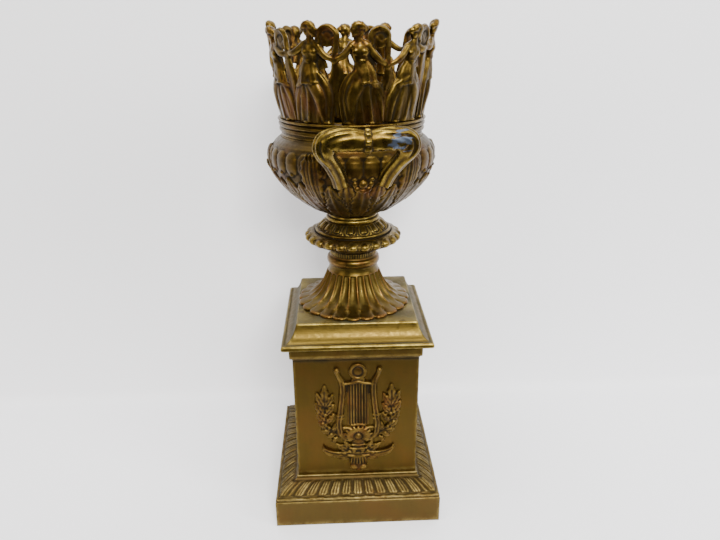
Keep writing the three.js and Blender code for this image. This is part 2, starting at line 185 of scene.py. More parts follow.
def add_to(whole, piece):
    """Moves a small piece into the whole. Small pieces are quick to shape on their own."""
    mesh = bpy.data.meshes.new("piece")
    piece.to_mesh(mesh)
    whole.from_mesh(mesh)
    bpy.data.meshes.remove(mesh)
    piece.free()


def sweep(whole, points, section, sides=16, steps=16, out=(0, -1, 0)):
    """A closed bar along a path. section(t, angle) gives its half width across and its half depth."""
    bm = bmesh.new()
    made = bmesh.ops.create_grid(bm, x_segments=steps, y_segments=sides, size=0.5)["verts"]
    out = Vector(out)
    frames = {}
    for v in made:
        t = v.co.x + 0.5
        angle = (v.co.y + 0.5) * TAU
        key = round(t, 5)
        if key not in frames:
            here = Vector(route(points, t))
            ahead = Vector(route(points, min(t + 0.01, 1)))
            behind = Vector(route(points, max(t - 0.01, 0)))
            tangent = (ahead - behind).normalized()
            side = tangent.cross(out).normalized()
            frames[key] = here, side, side.cross(tangent)
        here, side, front = frames[key]
        across, depth = section(t, angle)
        v.co = (here + side * (across * math.cos(angle)) + front * (depth * math.sin(angle))) * MM
    bmesh.ops.remove_doubles(bm, verts=bm.verts, dist=1e-6)
    bmesh.ops.holes_fill(bm, edges=[e for e in bm.edges if e.is_boundary], sides=0)
    add_to(whole, bm)


def tapered(*stops):
    """A section whose half width and half depth are read from evenly spaced stops."""
    places = np.linspace(0, 1, len(stops))
    widths = [s[0] if isinstance(s, tuple) else s for s in stops]
    depths = [s[1] if isinstance(s, tuple) else s for s in stops]
    return lambda t, angle: (np.interp(t, places, widths), np.interp(t, places, depths))


def lump(whole, place, size, turn=0.0, detail=12):
    """A rounded lump, turned in the plane of the panel."""
    bm = bmesh.new()
    bmesh.ops.create_uvsphere(bm, u_segments=detail, v_segments=detail - 4, radius=1)
    shape = Matrix.Translation(Vector(place) * MM) @ Matrix.Rotation(turn, 4, "Y")
    bmesh.ops.transform(bm, matrix=shape @ Matrix.Diagonal((*(s * MM for s in size), 1)), verts=bm.verts)
    add_to(whole, bm)


# %% Casting a piece
def in_millimetres(mesh):
    co = np.empty(len(mesh.vertices) * 3)
    mesh.vertices.foreach_get("co", co)
    return co.reshape(-1, 3) / MM


def put_back(mesh, places):
    mesh.vertices.foreach_set("co", (places * MM).ravel())
    mesh.update()


def mesh_of(name, bm, outward=True):
    bmesh.ops.remove_doubles(bm, verts=bm.verts, dist=1e-6)
    if outward:
        bmesh.ops.recalc_face_normals(bm, faces=bm.faces)
    mesh = bpy.data.meshes.new(name)
    bm.to_mesh(mesh)
    bm.free()
    return mesh


def recast(mesh, voxel, smooth=2):
    """Melts overlapping shapes into one skin, as metal poured into one mould, and softens it."""
    obj = bpy.data.objects.new("mould", mesh)
    bpy.context.scene.collection.objects.link(obj)
    remesh = obj.modifiers.new("melt", "REMESH")
    remesh.mode = "VOXEL"
    remesh.voxel_size = voxel * MM
    soften = obj.modifiers.new("soften", "SMOOTH")
    soften.factor = 0.5
    soften.iterations = smooth
    melted = bpy.data.meshes.new_from_object(obj.evaluated_get(bpy.context.evaluated_depsgraph_get()))
    bpy.data.objects.remove(obj)
    return melted


def carve(mesh, relief):
    """Pushes each point of a turned skin in or out by relief(azimuth, height, radius)."""
    co = in_millimetres(mesh)
    radius = np.hypot(co[:, 0], co[:, 1])
    azimuth = np.arctan2(co[:, 0], -co[:, 1])
    scale = (radius + relief(azimuth, co[:, 2], radius)) / np.maximum(radius, 1e-6)
    co[:, :2] *= scale[:, None]
    put_back(mesh, co)


def turn_round(mesh, angle):
    mesh.transform(Matrix.Rotation(angle, 4, "Z"))
    return mesh


def wear_shade_and_highlight_map(mesh, reach=(1.0, 2.4, 5.0), depth=(0.09, 0.30, 0.95)):
    """Marks hollows and raised edges by comparing the skin with smoothed copies of itself.

    The reach of each copy is in millimetres. The hollow mark gives real dirt and painted shade in the
    hollows, the ridge mark rubbed paint and a painted highlight on the raised edges. Raised edges are read
    from the two finer copies only, because paint is rubbed off, and the painted highlight lies, along a
    narrow line.
    """
    co = in_millimetres(mesh)
    normals = np.empty(len(co) * 3)
    mesh.vertex_normals.foreach_get("vector", normals)
    normals = normals.reshape(-1, 3)
    edges = np.empty(len(mesh.edges) * 2, int)
    mesh.edges.foreach_get("vertices", edges)
    a, b = edges.reshape(-1, 2).T
    count = np.bincount(a, minlength=len(co)) + np.bincount(b, minlength=len(co)) + 1
    gap = np.median(np.linalg.norm(co[a] - co[b], axis=1))
    rounds = [min(max(2, round((r / gap) ** 2)), 90) for r in reach]
    soft = co.copy()
    hollow = np.zeros(len(co))
    ridge = np.zeros(len(co))
    for step in range(1, rounds[-1] + 1):
        for axis in range(3):
            column = soft[:, axis]
            total = column + np.bincount(a, column[b], len(co)) + np.bincount(b, column[a], len(co))
            soft[:, axis] = total / count
        if step in rounds:
            stage = rounds.index(step)
            lift = ((soft - co) * normals).sum(1) / depth[stage]
            hollow = np.maximum(hollow, np.clip(lift, 0, 1))
            if stage < 2:
                ridge = np.maximum(ridge, np.clip(-lift, 0, 1))
    for name, values in (("hollow", hollow), ("ridge", ridge)):
        layer = mesh.attributes.new(name, "FLOAT", "POINT")
        layer.data.foreach_set("value", values.astype(np.float32))


def place(name, mesh, nodes, slot, skin):
    """Puts a finished mesh in the scene, on the fixed model's body and in place of its nodes."""
    mesh.transform(Matrix.Diagonal((SPREAD, SPREAD, 1, 1)))
    mesh.shade_smooth()
    mesh.name = name
    mesh.materials.clear()
    mesh.materials.append(skin)
    wear_shade_and_highlight_map(mesh)
    obj = bpy.data.objects.new(name, mesh)
    bpy.context.scene.collection.objects.link(obj)
    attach(obj, "root")
    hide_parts(*nodes)
    print(name, len(mesh.polygons), "faces")
    return obj


def soft_step(x, low, high):
    """The same rise as ramp, for one plain number."""
    x = min(max((x - low) / (high - low), 0.0), 1.0)
    return x * x * (3 - 2 * x)


def ramp(x, low, high):
    """0 below low, 1 above high, and a soft rise between."""
    x = np.clip((x - low) / (high - low), 0, 1)
    return x * x * (3 - 2 * x)


# %% [markdown]
# The paint is one effect with many settings: gold rubbed bright on the raised edges, with a painted highlight
# there too, brown dirt in the hollows, with painted shade there too, coppery patches where the paint has
# aged, dust on top, and painted shade that dulls the faces turned left or right. It is a node group that
# reads the hollow and ridge marks of each mesh, so that the wear, the painted shade and the painted highlight
# follow the relief.

# %% Nodes of the aged bronze paint
def aged_bronze_group():
    tree = bpy.data.node_groups.new("aged bronze paint", "ShaderNodeTree")
    for name, kind, value in (
        ("Gold", "NodeSocketColor", (0.088, 0.052, 0.0095, 1)),
        # This colour is used for rubbed gold and also for a painted highlight on the raised edges.
        ("Bright", "NodeSocketColor", (0.33, 0.22, 0.046, 1)),
        ("Copper", "NodeSocketColor", (0.115, 0.042, 0.011, 1)),
        # This colour is used for real dirt stains and also for painted shade in the hollows.
        ("Dirt", "NodeSocketColor", (0.012, 0.009, 0.0035, 1)),
        ("Dust", "NodeSocketColor", (0.062, 0.056, 0.034, 1)),
        ("Copper amount", "NodeSocketFloat", 0.5),
        ("Dirt amount", "NodeSocketFloat", 1.0),
        ("Dust amount", "NodeSocketFloat", 0.2),
        # The next setting paints shade on faces turned left or right, in the dust colour; it is painted
        # shade, not dust.
        ("Side dullness", "NodeSocketFloat", 0.0),
        ("Gloss", "NodeSocketFloat", 0.34),
    ):
        socket = tree.interface.new_socket(name, in_out="INPUT", socket_type=kind)
        socket.default_value = value
    for name, kind in (("Color", "NodeSocketColor"), ("Roughness", "NodeSocketFloat"),
                       ("Metallic", "NodeSocketFloat"), ("Height", "NodeSocketFloat")):
        tree.interface.new_socket(name, in_out="OUTPUT", socket_type=kind)
    node = tree.nodes.new
    link = tree.links.new
    given = node("NodeGroupInput")
    result = node("NodeGroupOutput")
    where = node("ShaderNodeTexCoord").outputs["Object"]

    def mark(name):
        found = node("ShaderNodeAttribute")
        found.attribute_name = name
        return found.outputs["Fac"]

    def cloud(scale, detail=4.0, rough=0.55):
        texture = node("ShaderNodeTexNoise")
        texture.inputs["Scale"].default_value = scale
        texture.inputs["Detail"].default_value = detail
        texture.inputs["Roughness"].default_value = rough
        link(where, texture.inputs["Vector"])
        return texture.outputs["Fac"]

    def remap(value, low, high, to_low=0.0, to_high=1.0):
        scale = node("ShaderNodeMapRange")
        scale.inputs["From Min"].default_value = low
        scale.inputs["From Max"].default_value = high
        scale.inputs["To Min"].default_value = to_low
        scale.inputs["To Max"].default_value = to_high
        link(value, scale.inputs["Value"])
        return scale.outputs["Result"]

    def sum_of(kind, a, b, clamp=True):
        maths = node("ShaderNodeMath")
        maths.operation = kind
        maths.use_clamp = clamp
        for socket, value in zip(maths.inputs, (a, b)):
            if isinstance(value, (int, float)):
                socket.default_value = value
            else:
                link(value, socket)
        return maths.outputs[0]

    def blend(amount, a, b):
        mixer = node("ShaderNodeMix")
        mixer.data_type = "RGBA"
        link(amount, mixer.inputs["Factor"])
        link(a, mixer.inputs["A"])
        link(b, mixer.inputs["B"])
        return mixer.outputs["Result"]

    hollow, ridge = mark("hollow"), mark("ridge")
    patches = remap(cloud(38, 5), 0.46, 0.66)
    flecks = cloud(420, 3, 0.7)
    copper = sum_of("MULTIPLY", patches, given.outputs["Copper amount"])
    colour = blend(copper, given.outputs["Gold"], given.outputs["Copper"])
    # Painted highlight: the ridge mark lightens the raised edges towards the bright colour, partly as rubbed
    # paint and partly as a painted highlight.
    rubbed_and_highlight = sum_of("MULTIPLY", ridge, remap(cloud(110, 5, 0.7), 0.36, 0.62))
    colour = blend(rubbed_and_highlight, colour, given.outputs["Bright"])
    stains = sum_of("MULTIPLY", remap(cloud(70, 6, 0.7), 0.5, 0.8), 0.35)
    # Painted shade: the hollow mark darkens the hollows towards the dirt colour, partly as real dirt and
    # partly as painted shade; the cloud stains are real dirt.
    dirt_and_hollow_shade = remap(sum_of("ADD", hollow, stains), 0.18, 1.05)
    dirt_and_hollow_shade = sum_of("MULTIPLY", dirt_and_hollow_shade, given.outputs["Dirt amount"])
    colour = blend(dirt_and_hollow_shade, colour, given.outputs["Dirt"])
    up = node("ShaderNodeSeparateXYZ")
    link(node("ShaderNodeNewGeometry").outputs["Normal"], up.inputs[0])
    dust_and_side_shade = sum_of("MULTIPLY", remap(up.outputs["Z"], 0.86, 0.99), remap(cloud(55, 6, 0.65), 0.36, 0.6))
    dust_and_side_shade = sum_of("MULTIPLY", dust_and_side_shade, given.outputs["Dust amount"])
    # Painted shade: faces turned left or right are dulled towards the dust colour and made rougher; the
    # colour is painted shade, not dust.
    side_shade = remap(sum_of("ABSOLUTE", up.outputs["X"], 0.0), 0.5, 0.85)
    side_shade = sum_of("MULTIPLY", side_shade, remap(cloud(30, 6, 0.7), 0.2, 0.55, 0.5, 1.0))
    dust_and_side_shade = sum_of("MAXIMUM", dust_and_side_shade, sum_of("MULTIPLY", side_shade, given.outputs["Side dullness"]))
    colour = blend(dust_and_side_shade, colour, given.outputs["Dust"])
    dull = sum_of("MAXIMUM", dirt_and_hollow_shade, dust_and_side_shade)
    rough = sum_of("ADD", given.outputs["Gloss"], sum_of("MULTIPLY", dull, 0.38))
    rough = sum_of("ADD", rough, remap(flecks, 0.3, 0.7, -0.05, 0.09), clamp=False)
    metal = sum_of("SUBTRACT", 0.96, sum_of("MULTIPLY", dull, 0.45))
    along = node("ShaderNodeMapping")
    along.inputs["Scale"].default_value = (1, 1, 0.06)
    link(where, along.inputs["Vector"])
    brush = node("ShaderNodeTexNoise")
    brush.inputs["Scale"].default_value = 330
    brush.inputs["Detail"].default_value = 4
    link(along.outputs["Vector"], brush.inputs["Vector"])
    strokes = sum_of("MULTIPLY", brush.outputs["Fac"], 0.7)
    rough = sum_of("ADD", rough, remap(brush.outputs["Fac"], 0.35, 0.65, -0.04, 0.05), clamp=False)
    height = sum_of("ADD", sum_of("MULTIPLY", flecks, 0.35), strokes, clamp=False)
    height = sum_of("ADD", height, cloud(140, 4, 0.6), clamp=False)
    link(colour, result.inputs["Color"])
    link(rough, result.inputs["Roughness"])
    link(metal, result.inputs["Metallic"])
    link(height, result.inputs["Height"])
    return tree


AGED_BRONZE = aged_bronze_group()


def bronze(name, bump=0.25, **settings):
    """One finish of the paint. Settings are the group's inputs, in plain words."""
    skin = bpy.data.materials.new(name)
    skin.use_nodes = True
    nodes, links = skin.node_tree.nodes, skin.node_tree.links
    shader = nodes["Principled BSDF"]
    paint = nodes.new("ShaderNodeGroup")
    paint.node_tree = AGED_BRONZE
    for key, value in settings.items():
        socket = paint.inputs[key.replace("_", " ").capitalize()]
        socket.default_value = (*value, 1) if isinstance(value, tuple) else value
    links.new(paint.outputs["Color"], shader.inputs["Base Color"])
    links.new(paint.outputs["Roughness"], shader.inputs["Roughness"])
    links.new(paint.outputs["Metallic"], shader.inputs["Metallic"])
    shader.inputs["Specular IOR Level"].default_value = 0.12
    grain = nodes.new("ShaderNodeBump")
    grain.inputs["Strength"].default_value = bump
    grain.inputs["Distance"].default_value = 0.0004
    links.new(paint.outputs["Height"], grain.inputs["Height"])
    links.new(grain.outputs["Normal"], shader.inputs["Normal"])
    return skin


def rub_bare(skin, middle, reach):
    """Shows grey zinc where the paint is knocked off, in ragged strokes round one spot."""
    nodes, links = skin.node_tree.nodes, skin.node_tree.links
    shader = nodes["Principled BSDF"]
    where = nodes.new("ShaderNodeTexCoord").outputs["Object"]
    away = nodes.new("ShaderNodeVectorMath")
    away.operation = "DISTANCE"
    away.inputs[1].default_value = Vector(middle) * MM
    links.new(where, away.inputs[0])
    stretch = nodes.new("ShaderNodeMapping")
    stretch.inputs["Scale"].default_value = (0.4, 1, 2.0)
    links.new(where, stretch.inputs["Vector"])
    strokes = nodes.new("ShaderNodeTexNoise")
    strokes.inputs["Scale"].default_value = 260
    strokes.inputs["Detail"].default_value = 5
    links.new(stretch.outputs["Vector"], strokes.inputs["Vector"])
    near = nodes.new("ShaderNodeMapRange")
    near.inputs["From Min"].default_value = reach * 1.25 * MM
    near.inputs["From Max"].default_value = reach * 0.35 * MM
    links.new(away.outputs["Value"], near.inputs["Value"])
    both = nodes.new("ShaderNodeMath")
    both.operation = "MULTIPLY_ADD"
    both.inputs[1].default_value = 0.42
    links.new(near.outputs["Result"], both.inputs[0])
    links.new(strokes.outputs["Fac"], both.inputs[2])
    sharp = nodes.new("ShaderNodeMapRange")
    sharp.inputs["From Min"].default_value = 0.84
    sharp.inputs["From Max"].default_value = 0.90
    links.new(both.outputs["Value"], sharp.inputs["Value"])
    for name, bare in (("Base Color", (0.075, 0.092, 0.125, 1)), ("Roughness", 0.48)):
        mixer = nodes.new("ShaderNodeMix")
        mixer.data_type = "RGBA" if name == "Base Color" else "FLOAT"
        ends = [i for i in mixer.inputs if i.enabled and i.name in ("A", "B")]
        links.new(shader.inputs[name].links[0].from_socket, ends[0])
        ends[1].default_value = bare
        links.new(sharp.outputs["Result"], [i for i in mixer.inputs if i.enabled and i.name == "Factor"][0])
        links.new([o for o in mixer.outputs if o.enabled][0], shader.inputs[name])


# %% The finishes
# The dirt amount sets the real dirt and the painted shade in the hollows together.
# The side setting paints shade on the faces turned left or right.
base_skin = bronze("base paint", gold=(0.072, 0.046, 0.0115), bright=(0.18, 0.130, 0.042), copper_amount=0.2,
                   dirt_amount=0.65, dust_amount=0.15, side_dullness=0.75, gloss=0.40)
plinth_skin = bronze("plinth paint", gold=(0.066, 0.041, 0.0088), bright=(0.15, 0.105, 0.027),
                     copper_amount=0.2, dust_amount=0.25, side_dullness=0.75, gloss=0.40)
cap_skin = bronze("cap paint", gold=(0.088, 0.058, 0.0115), bright=(0.30, 0.22, 0.05), copper_amount=0.05,
                  dust_amount=0.85, side_dullness=0.8, dirt=(0.055, 0.060, 0.042), gloss=0.35)
lyre_skin = bronze("lyre paint", gold=(0.052, 0.029, 0.0072), bright=(0.15, 0.095, 0.022),
                   copper_amount=0.8, dust_amount=0.0, gloss=0.40)
foot_skin = bronze("foot paint", gold=(0.090, 0.060, 0.0125), bright=(0.13, 0.062, 0.016), copper_amount=0.2,
                   dirt_amount=0.3, dust_amount=0.1, gloss=0.32)
knop_skin = bronze("knop paint", gold=(0.072, 0.047, 0.0105), bright=(0.22, 0.15, 0.032),
                   copper_amount=0.4, dust_amount=0.0, gloss=0.32)
bowl_skin = bronze("bowl paint", gold=(0.036, 0.0215, 0.0042), bright=(0.12, 0.074, 0.015),
                   copper=(0.075, 0.027, 0.008), copper_amount=0.75, dust_amount=0.0, gloss=0.38)
crown_skin = bronze("crown paint", gold=(0.044, 0.0265, 0.0048), bright=(0.15, 0.096, 0.019),
                    copper=(0.078, 0.028, 0.008), copper_amount=0.75, dust_amount=0.0, gloss=0.33)
HANDLE_PAINT = dict(gold=(0.056, 0.036, 0.0062), bright=(0.22, 0.15, 0.027), copper_amount=0.25,
                    dust_amount=0.0, gloss=0.30)
handle_skin = bronze("handle paint", **HANDLE_PAINT)
worn_handle_skin = bronze("worn handle paint", **HANDLE_PAINT)
BARE_SPOT = (29.5, -84.0, 335.0)
BARE_REACH = 12
rub_bare(worn_handle_skin, BARE_SPOT, BARE_REACH)
print(len(bpy.data.materials), "finishes")

# %% [markdown]
# The base is a square block under a sloping course of upright leaves. A profile carried round a
# square gives the mouldings, and each side is cut finely enough for the leaves to be pushed into it.

# %% Plinth base
LEAVES_A_SIDE = 13
LEAF_LOW, LEAF_HIGH = 28.6, 35.0
LEAVES_INNER = 52
LEAVES_MIDDLE = 60
BASE_CUTS = 150
BASE_BLOCK = [(BASE_HALF - 0.4, 0), (BASE_HALF, 0.5), (BASE_HALF, 3), (BASE_HALF, 12), (BASE_HALF, 19)]
BASE_PROFILE = [
    (BASE_HALF, 22), (BASE_HALF, 24.6), (69.7, 25), (69.0, 25.4), (69.0, 26),
    (69.5, 26.3), (69.7, 27), (69.4, 27.8), (68.4, 28.2), (67.2, 28.3), (66.4, 28.7), (64.6, 30.2),
    (61.5, 32.2), (58.2, 33.7), (55.2, 34.7), (53.9, 35.0), (53.4, 35.4), (52.9, 35.7), (52.4, 36.3),
    (52.2, 37.2), (52.3, 38), (51.8, BASE_TOP),
]
BASE_INSIDE = [(44, BASE_TOP), (44, 34), (62, 25), (66, 21), (66, 0), (BASE_HALF - 0.4, 0)]


def leaf_course(u, s):
    """Height of the leaf course: u runs along the side in leaf widths, s from the foot to the top."""
    p = np.abs((u + 0.5) % 1 - 0.5)
    round_foot = np.sqrt(np.clip(1 - (np.clip(0.3 - s, 0, 0.3) / 0.34) ** 2, 0.05, 1))
    half = 0.5 * round_foot * (1 - 0.12 * np.clip(s, 0, 1))
    across = np.clip(p / half, 0, 1)
    body = (1 - across**4) * (0.8 + 0.2 * np.cos(across * math.pi / 2))
    ribs = 0.30 * np.cos(across * 3.4 * math.pi) * (1 - across**6)
    fade = ramp(s, 0.0, 0.10) * (1 - ramp(s, 0.90, 1.0))
    return fade * (1.05 * body + ribs - 0.3)


def base_leaves(mesh):
    co = in_millimetres(mesh)
    x, y, z = co.T
    for axis, other in ((0, 1), (1, 0)):
        out = np.abs(co[:, axis])
        facing = out >= np.abs(co[:, other]) - 1e-6
        s = (z - LEAF_LOW) / (LEAF_HIGH - LEAF_LOW)
        on_slope = facing & (s > 0) & (s < 1) & (out > LEAVES_INNER)
        widen = out / LEAVES_MIDDLE
        lift = leaf_course(co[:, other] / widen / (2 * LEAVES_MIDDLE / LEAVES_A_SIDE), s)
        corner = np.clip((np.abs(co[:, other]) / out - 0.90) / 0.10, 0, 1)
        mitre = 1.5 * ramp(corner, 0.0, 0.5) + 0.28 * np.cos(corner * TAU * 2) * ramp(corner, 0.1, 0.3)
        lift = lift * (1 - ramp(corner, 0.0, 0.15)) + mitre * ramp(s, 0, 0.1) * (1 - ramp(s, 0.9, 1))
        lift = np.where(on_slope, lift, 0)
        co[:, axis] += np.sign(co[:, axis]) * lift * 0.45
        co[:, 2] += lift * 0.85
    wave = 0.22 * np.sin(x * 0.31 + y * 0.2) + 0.14 * np.sin(x * 0.83 - y * 0.5)
    co[:, 2] += np.where((z > 26.2) & (z < 28.4), wave, 0)
    put_back(mesh, co)


base_line = fine(BASE_BLOCK, 2) + fine(BASE_PROFILE, 0.75) + BASE_INSIDE
base_mesh = mesh_of("plinth_base_casting", squared(base_line, BASE_CUTS))
base_leaves(base_mesh)
place("plinth_base_casting", base_mesh, ["plinth_base"], "plinth_base_finish", base_skin)

# %% [markdown]
# The die is a plain square tube with a flange, and the cap a lip with a hollow-curved rise. Their
# corners are softened, because thick paint rounds a cast edge.

# %% Plinth die
DIE_PROFILE = [
    (DIE_HALF, BASE_TOP), (DIE_HALF, 153.6), (DIE_HALF + 0.2, 154), (51.5, 154.3), (51.6, 155.4),
    (53.0, 155.9), (53.4, 156.4), (53.5, 164.6), (53.1, DIE_TOP),
    (47.5, DIE_TOP), (47.5, BASE_TOP), (DIE_HALF, BASE_TOP),
]
DIE_CUTS = 40


def soften_corners(mesh, reach, seam=0.0):
    """Rounds the four upright corners, and leaves a slightly ragged seam where the sides were joined."""
    co = in_millimetres(mesh)
    half = np.abs(co[:, :2]).max(1)
    for axis in (0, 1):
        t = np.clip(np.abs(co[:, axis]) / np.maximum(half, 1), 0, 1)
        co[:, axis] = np.sign(co[:, axis]) * half * (1 - (1 - t) ** 1.6)
    low = np.abs(co[:, :2]).min(1)
    near = np.clip((low - (half - reach)) / reach, 0, 1)
    pull = reach * 0.29 * near**2
    z = co[:, 2]
    ragged = seam * near * (np.sin(z * 0.55) + 0.7 * np.sin(z * 1.37 + 1) + 0.5 * np.sin(z * 3.1))
    scale = (half - pull - ragged) / half
    co[:, :2] *= scale[:, None]
    put_back(mesh, co)


die_mesh = mesh_of("plinth_die_casting", squared(fine(DIE_PROFILE, 3.0), DIE_CUTS))
soften_corners(die_mesh, 1.1, seam=0.12)
place("plinth_die_casting", die_mesh, ["plinth_die"], "plinth_die_finish", plinth_skin)

# %% Plinth cap
CAP_PROFILE = [
    (59.3, 166.4), (60.0, 166.9), (LIP_HALF, 167.8), (60.1, 169.0), (59.7, 170.1), (58.9, 170.8),
    (57.9, 170.9), (57.2, 170.5), (56.3, 170.7), (54.6, 171.7), (52.6, 173.7), (50.9, 176.5),
    (49.6, 179.6), (48.7, 182.4), (48.3, 184.0), (47.8, 184.8), (47.0, CAP_TOP),
]
CAP_WALL = 3.2
CAP_PLATE = [(30, CAP_TOP), (0.01, CAP_TOP), (0.01, CAP_TOP - CAP_WALL)]
CAP_INSIDE = [(44, CAP_TOP - CAP_WALL), (47, 172), (47, DIE_TOP), (50, DIE_TOP)]
CAP_CUTS = 50
cap_line = [(50, DIE_TOP), (50, 166.3)] + fine(rounded(CAP_PROFILE, 1), 0.7) + CAP_PLATE + CAP_INSIDE
cap_mesh = mesh_of("plinth_cap_casting", squared(cap_line, CAP_CUTS))
soften_corners(cap_mesh, 1.3, seam=0.05)
cap_mesh.transform(Matrix.Translation((CAP_SHIFT * MM, 0, 0)))
cap = place("plinth_cap_casting", cap_mesh, ["plinth_cap"], "plinth_cap_finish", cap_skin)

# %% [markdown]
# A crust of old polish lies on the cap in a ring round the foot. It takes the place of the cap's
# hollow marks, so that the paint shows it as dirt without a finish of its own.

# %% Crust round the foot
CRUST_RADIUS = 47.5
CRUST_WIDTH = 4.5
spots = in_millimetres(cap.data)
from_ring = (np.hypot(spots[:, 0], spots[:, 1]) - CRUST_RADIUS) / CRUST_WIDTH
crust = np.exp(-(from_ring**2)) * (spots[:, 2] > CAP_TOP - 0.5)
cap.data.attributes["hollow"].data.foreach_set("value", np.maximum(crust * 0.8, 0).astype(np.float32))

# %% [markdown]
# The foot is a bell with hollow flutes that end square under the neck and scoop out into a scalloped
# lip below. It is turned first, and each flute is then pressed in as a round-bottomed channel.

# %% Foot
FLUTES = 24
FOOT_PROFILE = [
    (45.8, CAP_TOP), (46.9, 185.5), (47.1, 186.3), (46.7, 187.2), (45.6, 187.8), (44.2, 188.0), (41.6, 188.6),
    (37.4, 190.2), (33.2, 192.9), (29.6, 196.6), (26.6, 201.2), (24.2, 206.2), (22.4, 211.0),
    (21.0, 214.4), (20.2, 216.6), (19.9, 219.2), *bead(20.0, 219.8, 226.6, 1.9), (19.3, 227.2),
    (19.2, FOOT_TOP),
]
FOOT_INSIDE = [
    (16, FOOT_TOP), (17, 212), (20.6, 202), (26.4, 194.4), (33.6, 189.2), (40.6, 186.6),
    (42.4, CAP_TOP), (45.8, CAP_TOP),
]
STEPS_A_FLUTE = 16


def flutes(azimuth, z, radius):
    p = (azimuth * FLUTES / TAU) % 1 - 0.5
    skin = np.interp(z, [185, 188, 190, 194.4, 202, 212, 228], [44, 42.2, 36.4, 29.2, 22.4, 18.4, 17.4])
    outer = radius > skin
    across = np.clip(np.abs(p) / 0.41, 0, 1)
    channel = np.sqrt(1 - across**2)
    low, high = 188.2 + 1.2 * across**2, 213.4 - 0.5 * across**6
    open_here = ramp(z, low, low + 5) * (1 - ramp(z, high - 0.5, high))
    depth = -2.5 * channel * open_here * np.interp(z, [188, 205, 214], [1, 0.9, 0.72])
    ridge = 0.25 * (1 - ramp(np.abs(np.abs(p) - 0.5), 0.0, 0.09)) * open_here
    scallop = -2.6 * (np.abs(p) * 2) ** 3 * (1 - ramp(z, 188.2, 191))
    return np.where(outer, depth + ridge + scallop, 0)


foot_line = fine(rounded(FOOT_PROFILE, 1), 0.75) + FOOT_INSIDE
foot_mesh = mesh_of("foot_casting", turned(foot_line, FLUTES * STEPS_A_FLUTE))
carve(foot_mesh, flutes)
place("foot_casting", turn_round(foot_mesh, URN_TURN), ["foot"], "foot_finish", foot_skin)

# %% [markdown]
# The knop is a disc edged with eggs in cups, with small darts between them, and a cone of tongues
# above it. Eggs are domes pushed out of the rim, so their shape is a plain function of the angle.

# %% Knop
EGGS = 24
TONGUES = 15
STEM_REEDS = 60
STEPS_AN_EGG = 14
CONE_LOW, CONE_HIGH = 251.2, 257.2
KNOP_PROFILE = [
    (19.0, FOOT_TOP), (18.9, 229), (19.0, 231.4), (19.8, 232.8), (22.2, 234.2), (27, 236.4), (32, 238.6),
    (35.4, 240.2), (36.9, 241.6), (37.6, 243.2), (37.4, 245.2), (36.2, 247), (34.2, 248.3), (32.6, 248.6),
    (31.6, 248.2), (31, 248.3), *bead(29.4, 248.5, 251.2, 1.5, 8)[2:], (29.0, 251.0), (28.2, 250.8),
    (28.4, 251.2), (26.6, 253.6), (24.2, 255.8), (22.6, 257), (22, 257.6), *bead(20.4, 257.8, 261.4, 1.4, 6),
    (19.8, 261.8), (19.6, KNOP_TOP),
]
KNOP_INSIDE = [
    (15.4, KNOP_TOP), (15.4, 249), (28, 246.2), (29, 245.4), (14.5, 240),
    (14.5, FOOT_TOP), (19.0, FOOT_TOP),
]


def knop_relief(azimuth, z, radius):
    wall = np.interp(z, [228, 236, 240, 246, 249, 252, 258, 263], [17, 20, 31, 31.2, 28.4, 24, 18, 17])
    outer = radius > wall
    p = (azimuth * EGGS / TAU) % 1 - 0.5
    along = np.where(z < 244, (z - 244) * 1.25, (z - 244) * 1.5)
    egg = 1 - (p / 0.37) ** 2 - ((along - 0.2) / 5.4) ** 2
    ring = np.exp(-((egg + 0.30) / 0.17) ** 2) * ((along > -4.8) & (along < 6.4))
    dart = np.exp(-(((np.abs(p) - 0.5) / 0.05) ** 2)) * ramp(-along, -1.5, 3) * ramp(along, -6, -4)
    rim = ramp(z, 239.6, 241) * (1 - ramp(z, 248.4, 248.9))
    lift = rim * (2.3 * np.sqrt(np.clip(egg, 0, 1)) + 0.7 * ring + 0.9 * dart - 0.2)
    q = np.abs((azimuth * TONGUES / TAU) % 1 - 0.5)
    s = (z - CONE_LOW) / (CONE_HIGH - CONE_LOW)
    on_cone = ramp(s, -0.05, 0.05) * (1 - ramp(s, 0.95, 1.05))
    bottom = 0.36 * np.sqrt(np.clip(1 - ((0.42 - s) / 0.42).clip(0, 1) ** 2, 0, 1))
    cup = np.exp(-((q - bottom) / 0.06) ** 2) * ramp(s, 0.0, 0.06)
    dart = np.exp(-((q - 0.5) / 0.05) ** 2) * (1 - ramp(s, 0.5, 0.9))
    middle = np.sqrt(np.clip(1 - (q / 0.22) ** 2, 0, 1)) * ramp(s, 0.16, 0.3)
    lift += on_cone * (1.3 * cup + 0.9 * dart + 1.0 * middle - 0.5)
    stem = ramp(z, 228.6, 229.2) * (1 - ramp(z, 231.6, 232.4))
    lift += stem * 0.22 * np.cos(azimuth * STEM_REEDS)
    return np.where(outer, lift, 0)


knop_line = fine(rounded(KNOP_PROFILE, 1), 0.65) + KNOP_INSIDE
knop_mesh = mesh_of("knop_casting", turned(knop_line, EGGS * STEPS_AN_EGG))
carve(knop_mesh, knop_relief)
place("knop_casting", turn_round(knop_mesh, URN_TURN), ["knop"], "knop_finish", knop_skin)

# %% [markdown]
# The bowl carries two kinds of relief: a band of plump lobes under a plain shoulder, and leaves that
# climb over the lower half. Each leaf is a height drawn over its own length and width, with veins
# that leave the midrib at a slant. A few big leaves climb between the lobes and end in curled tips.

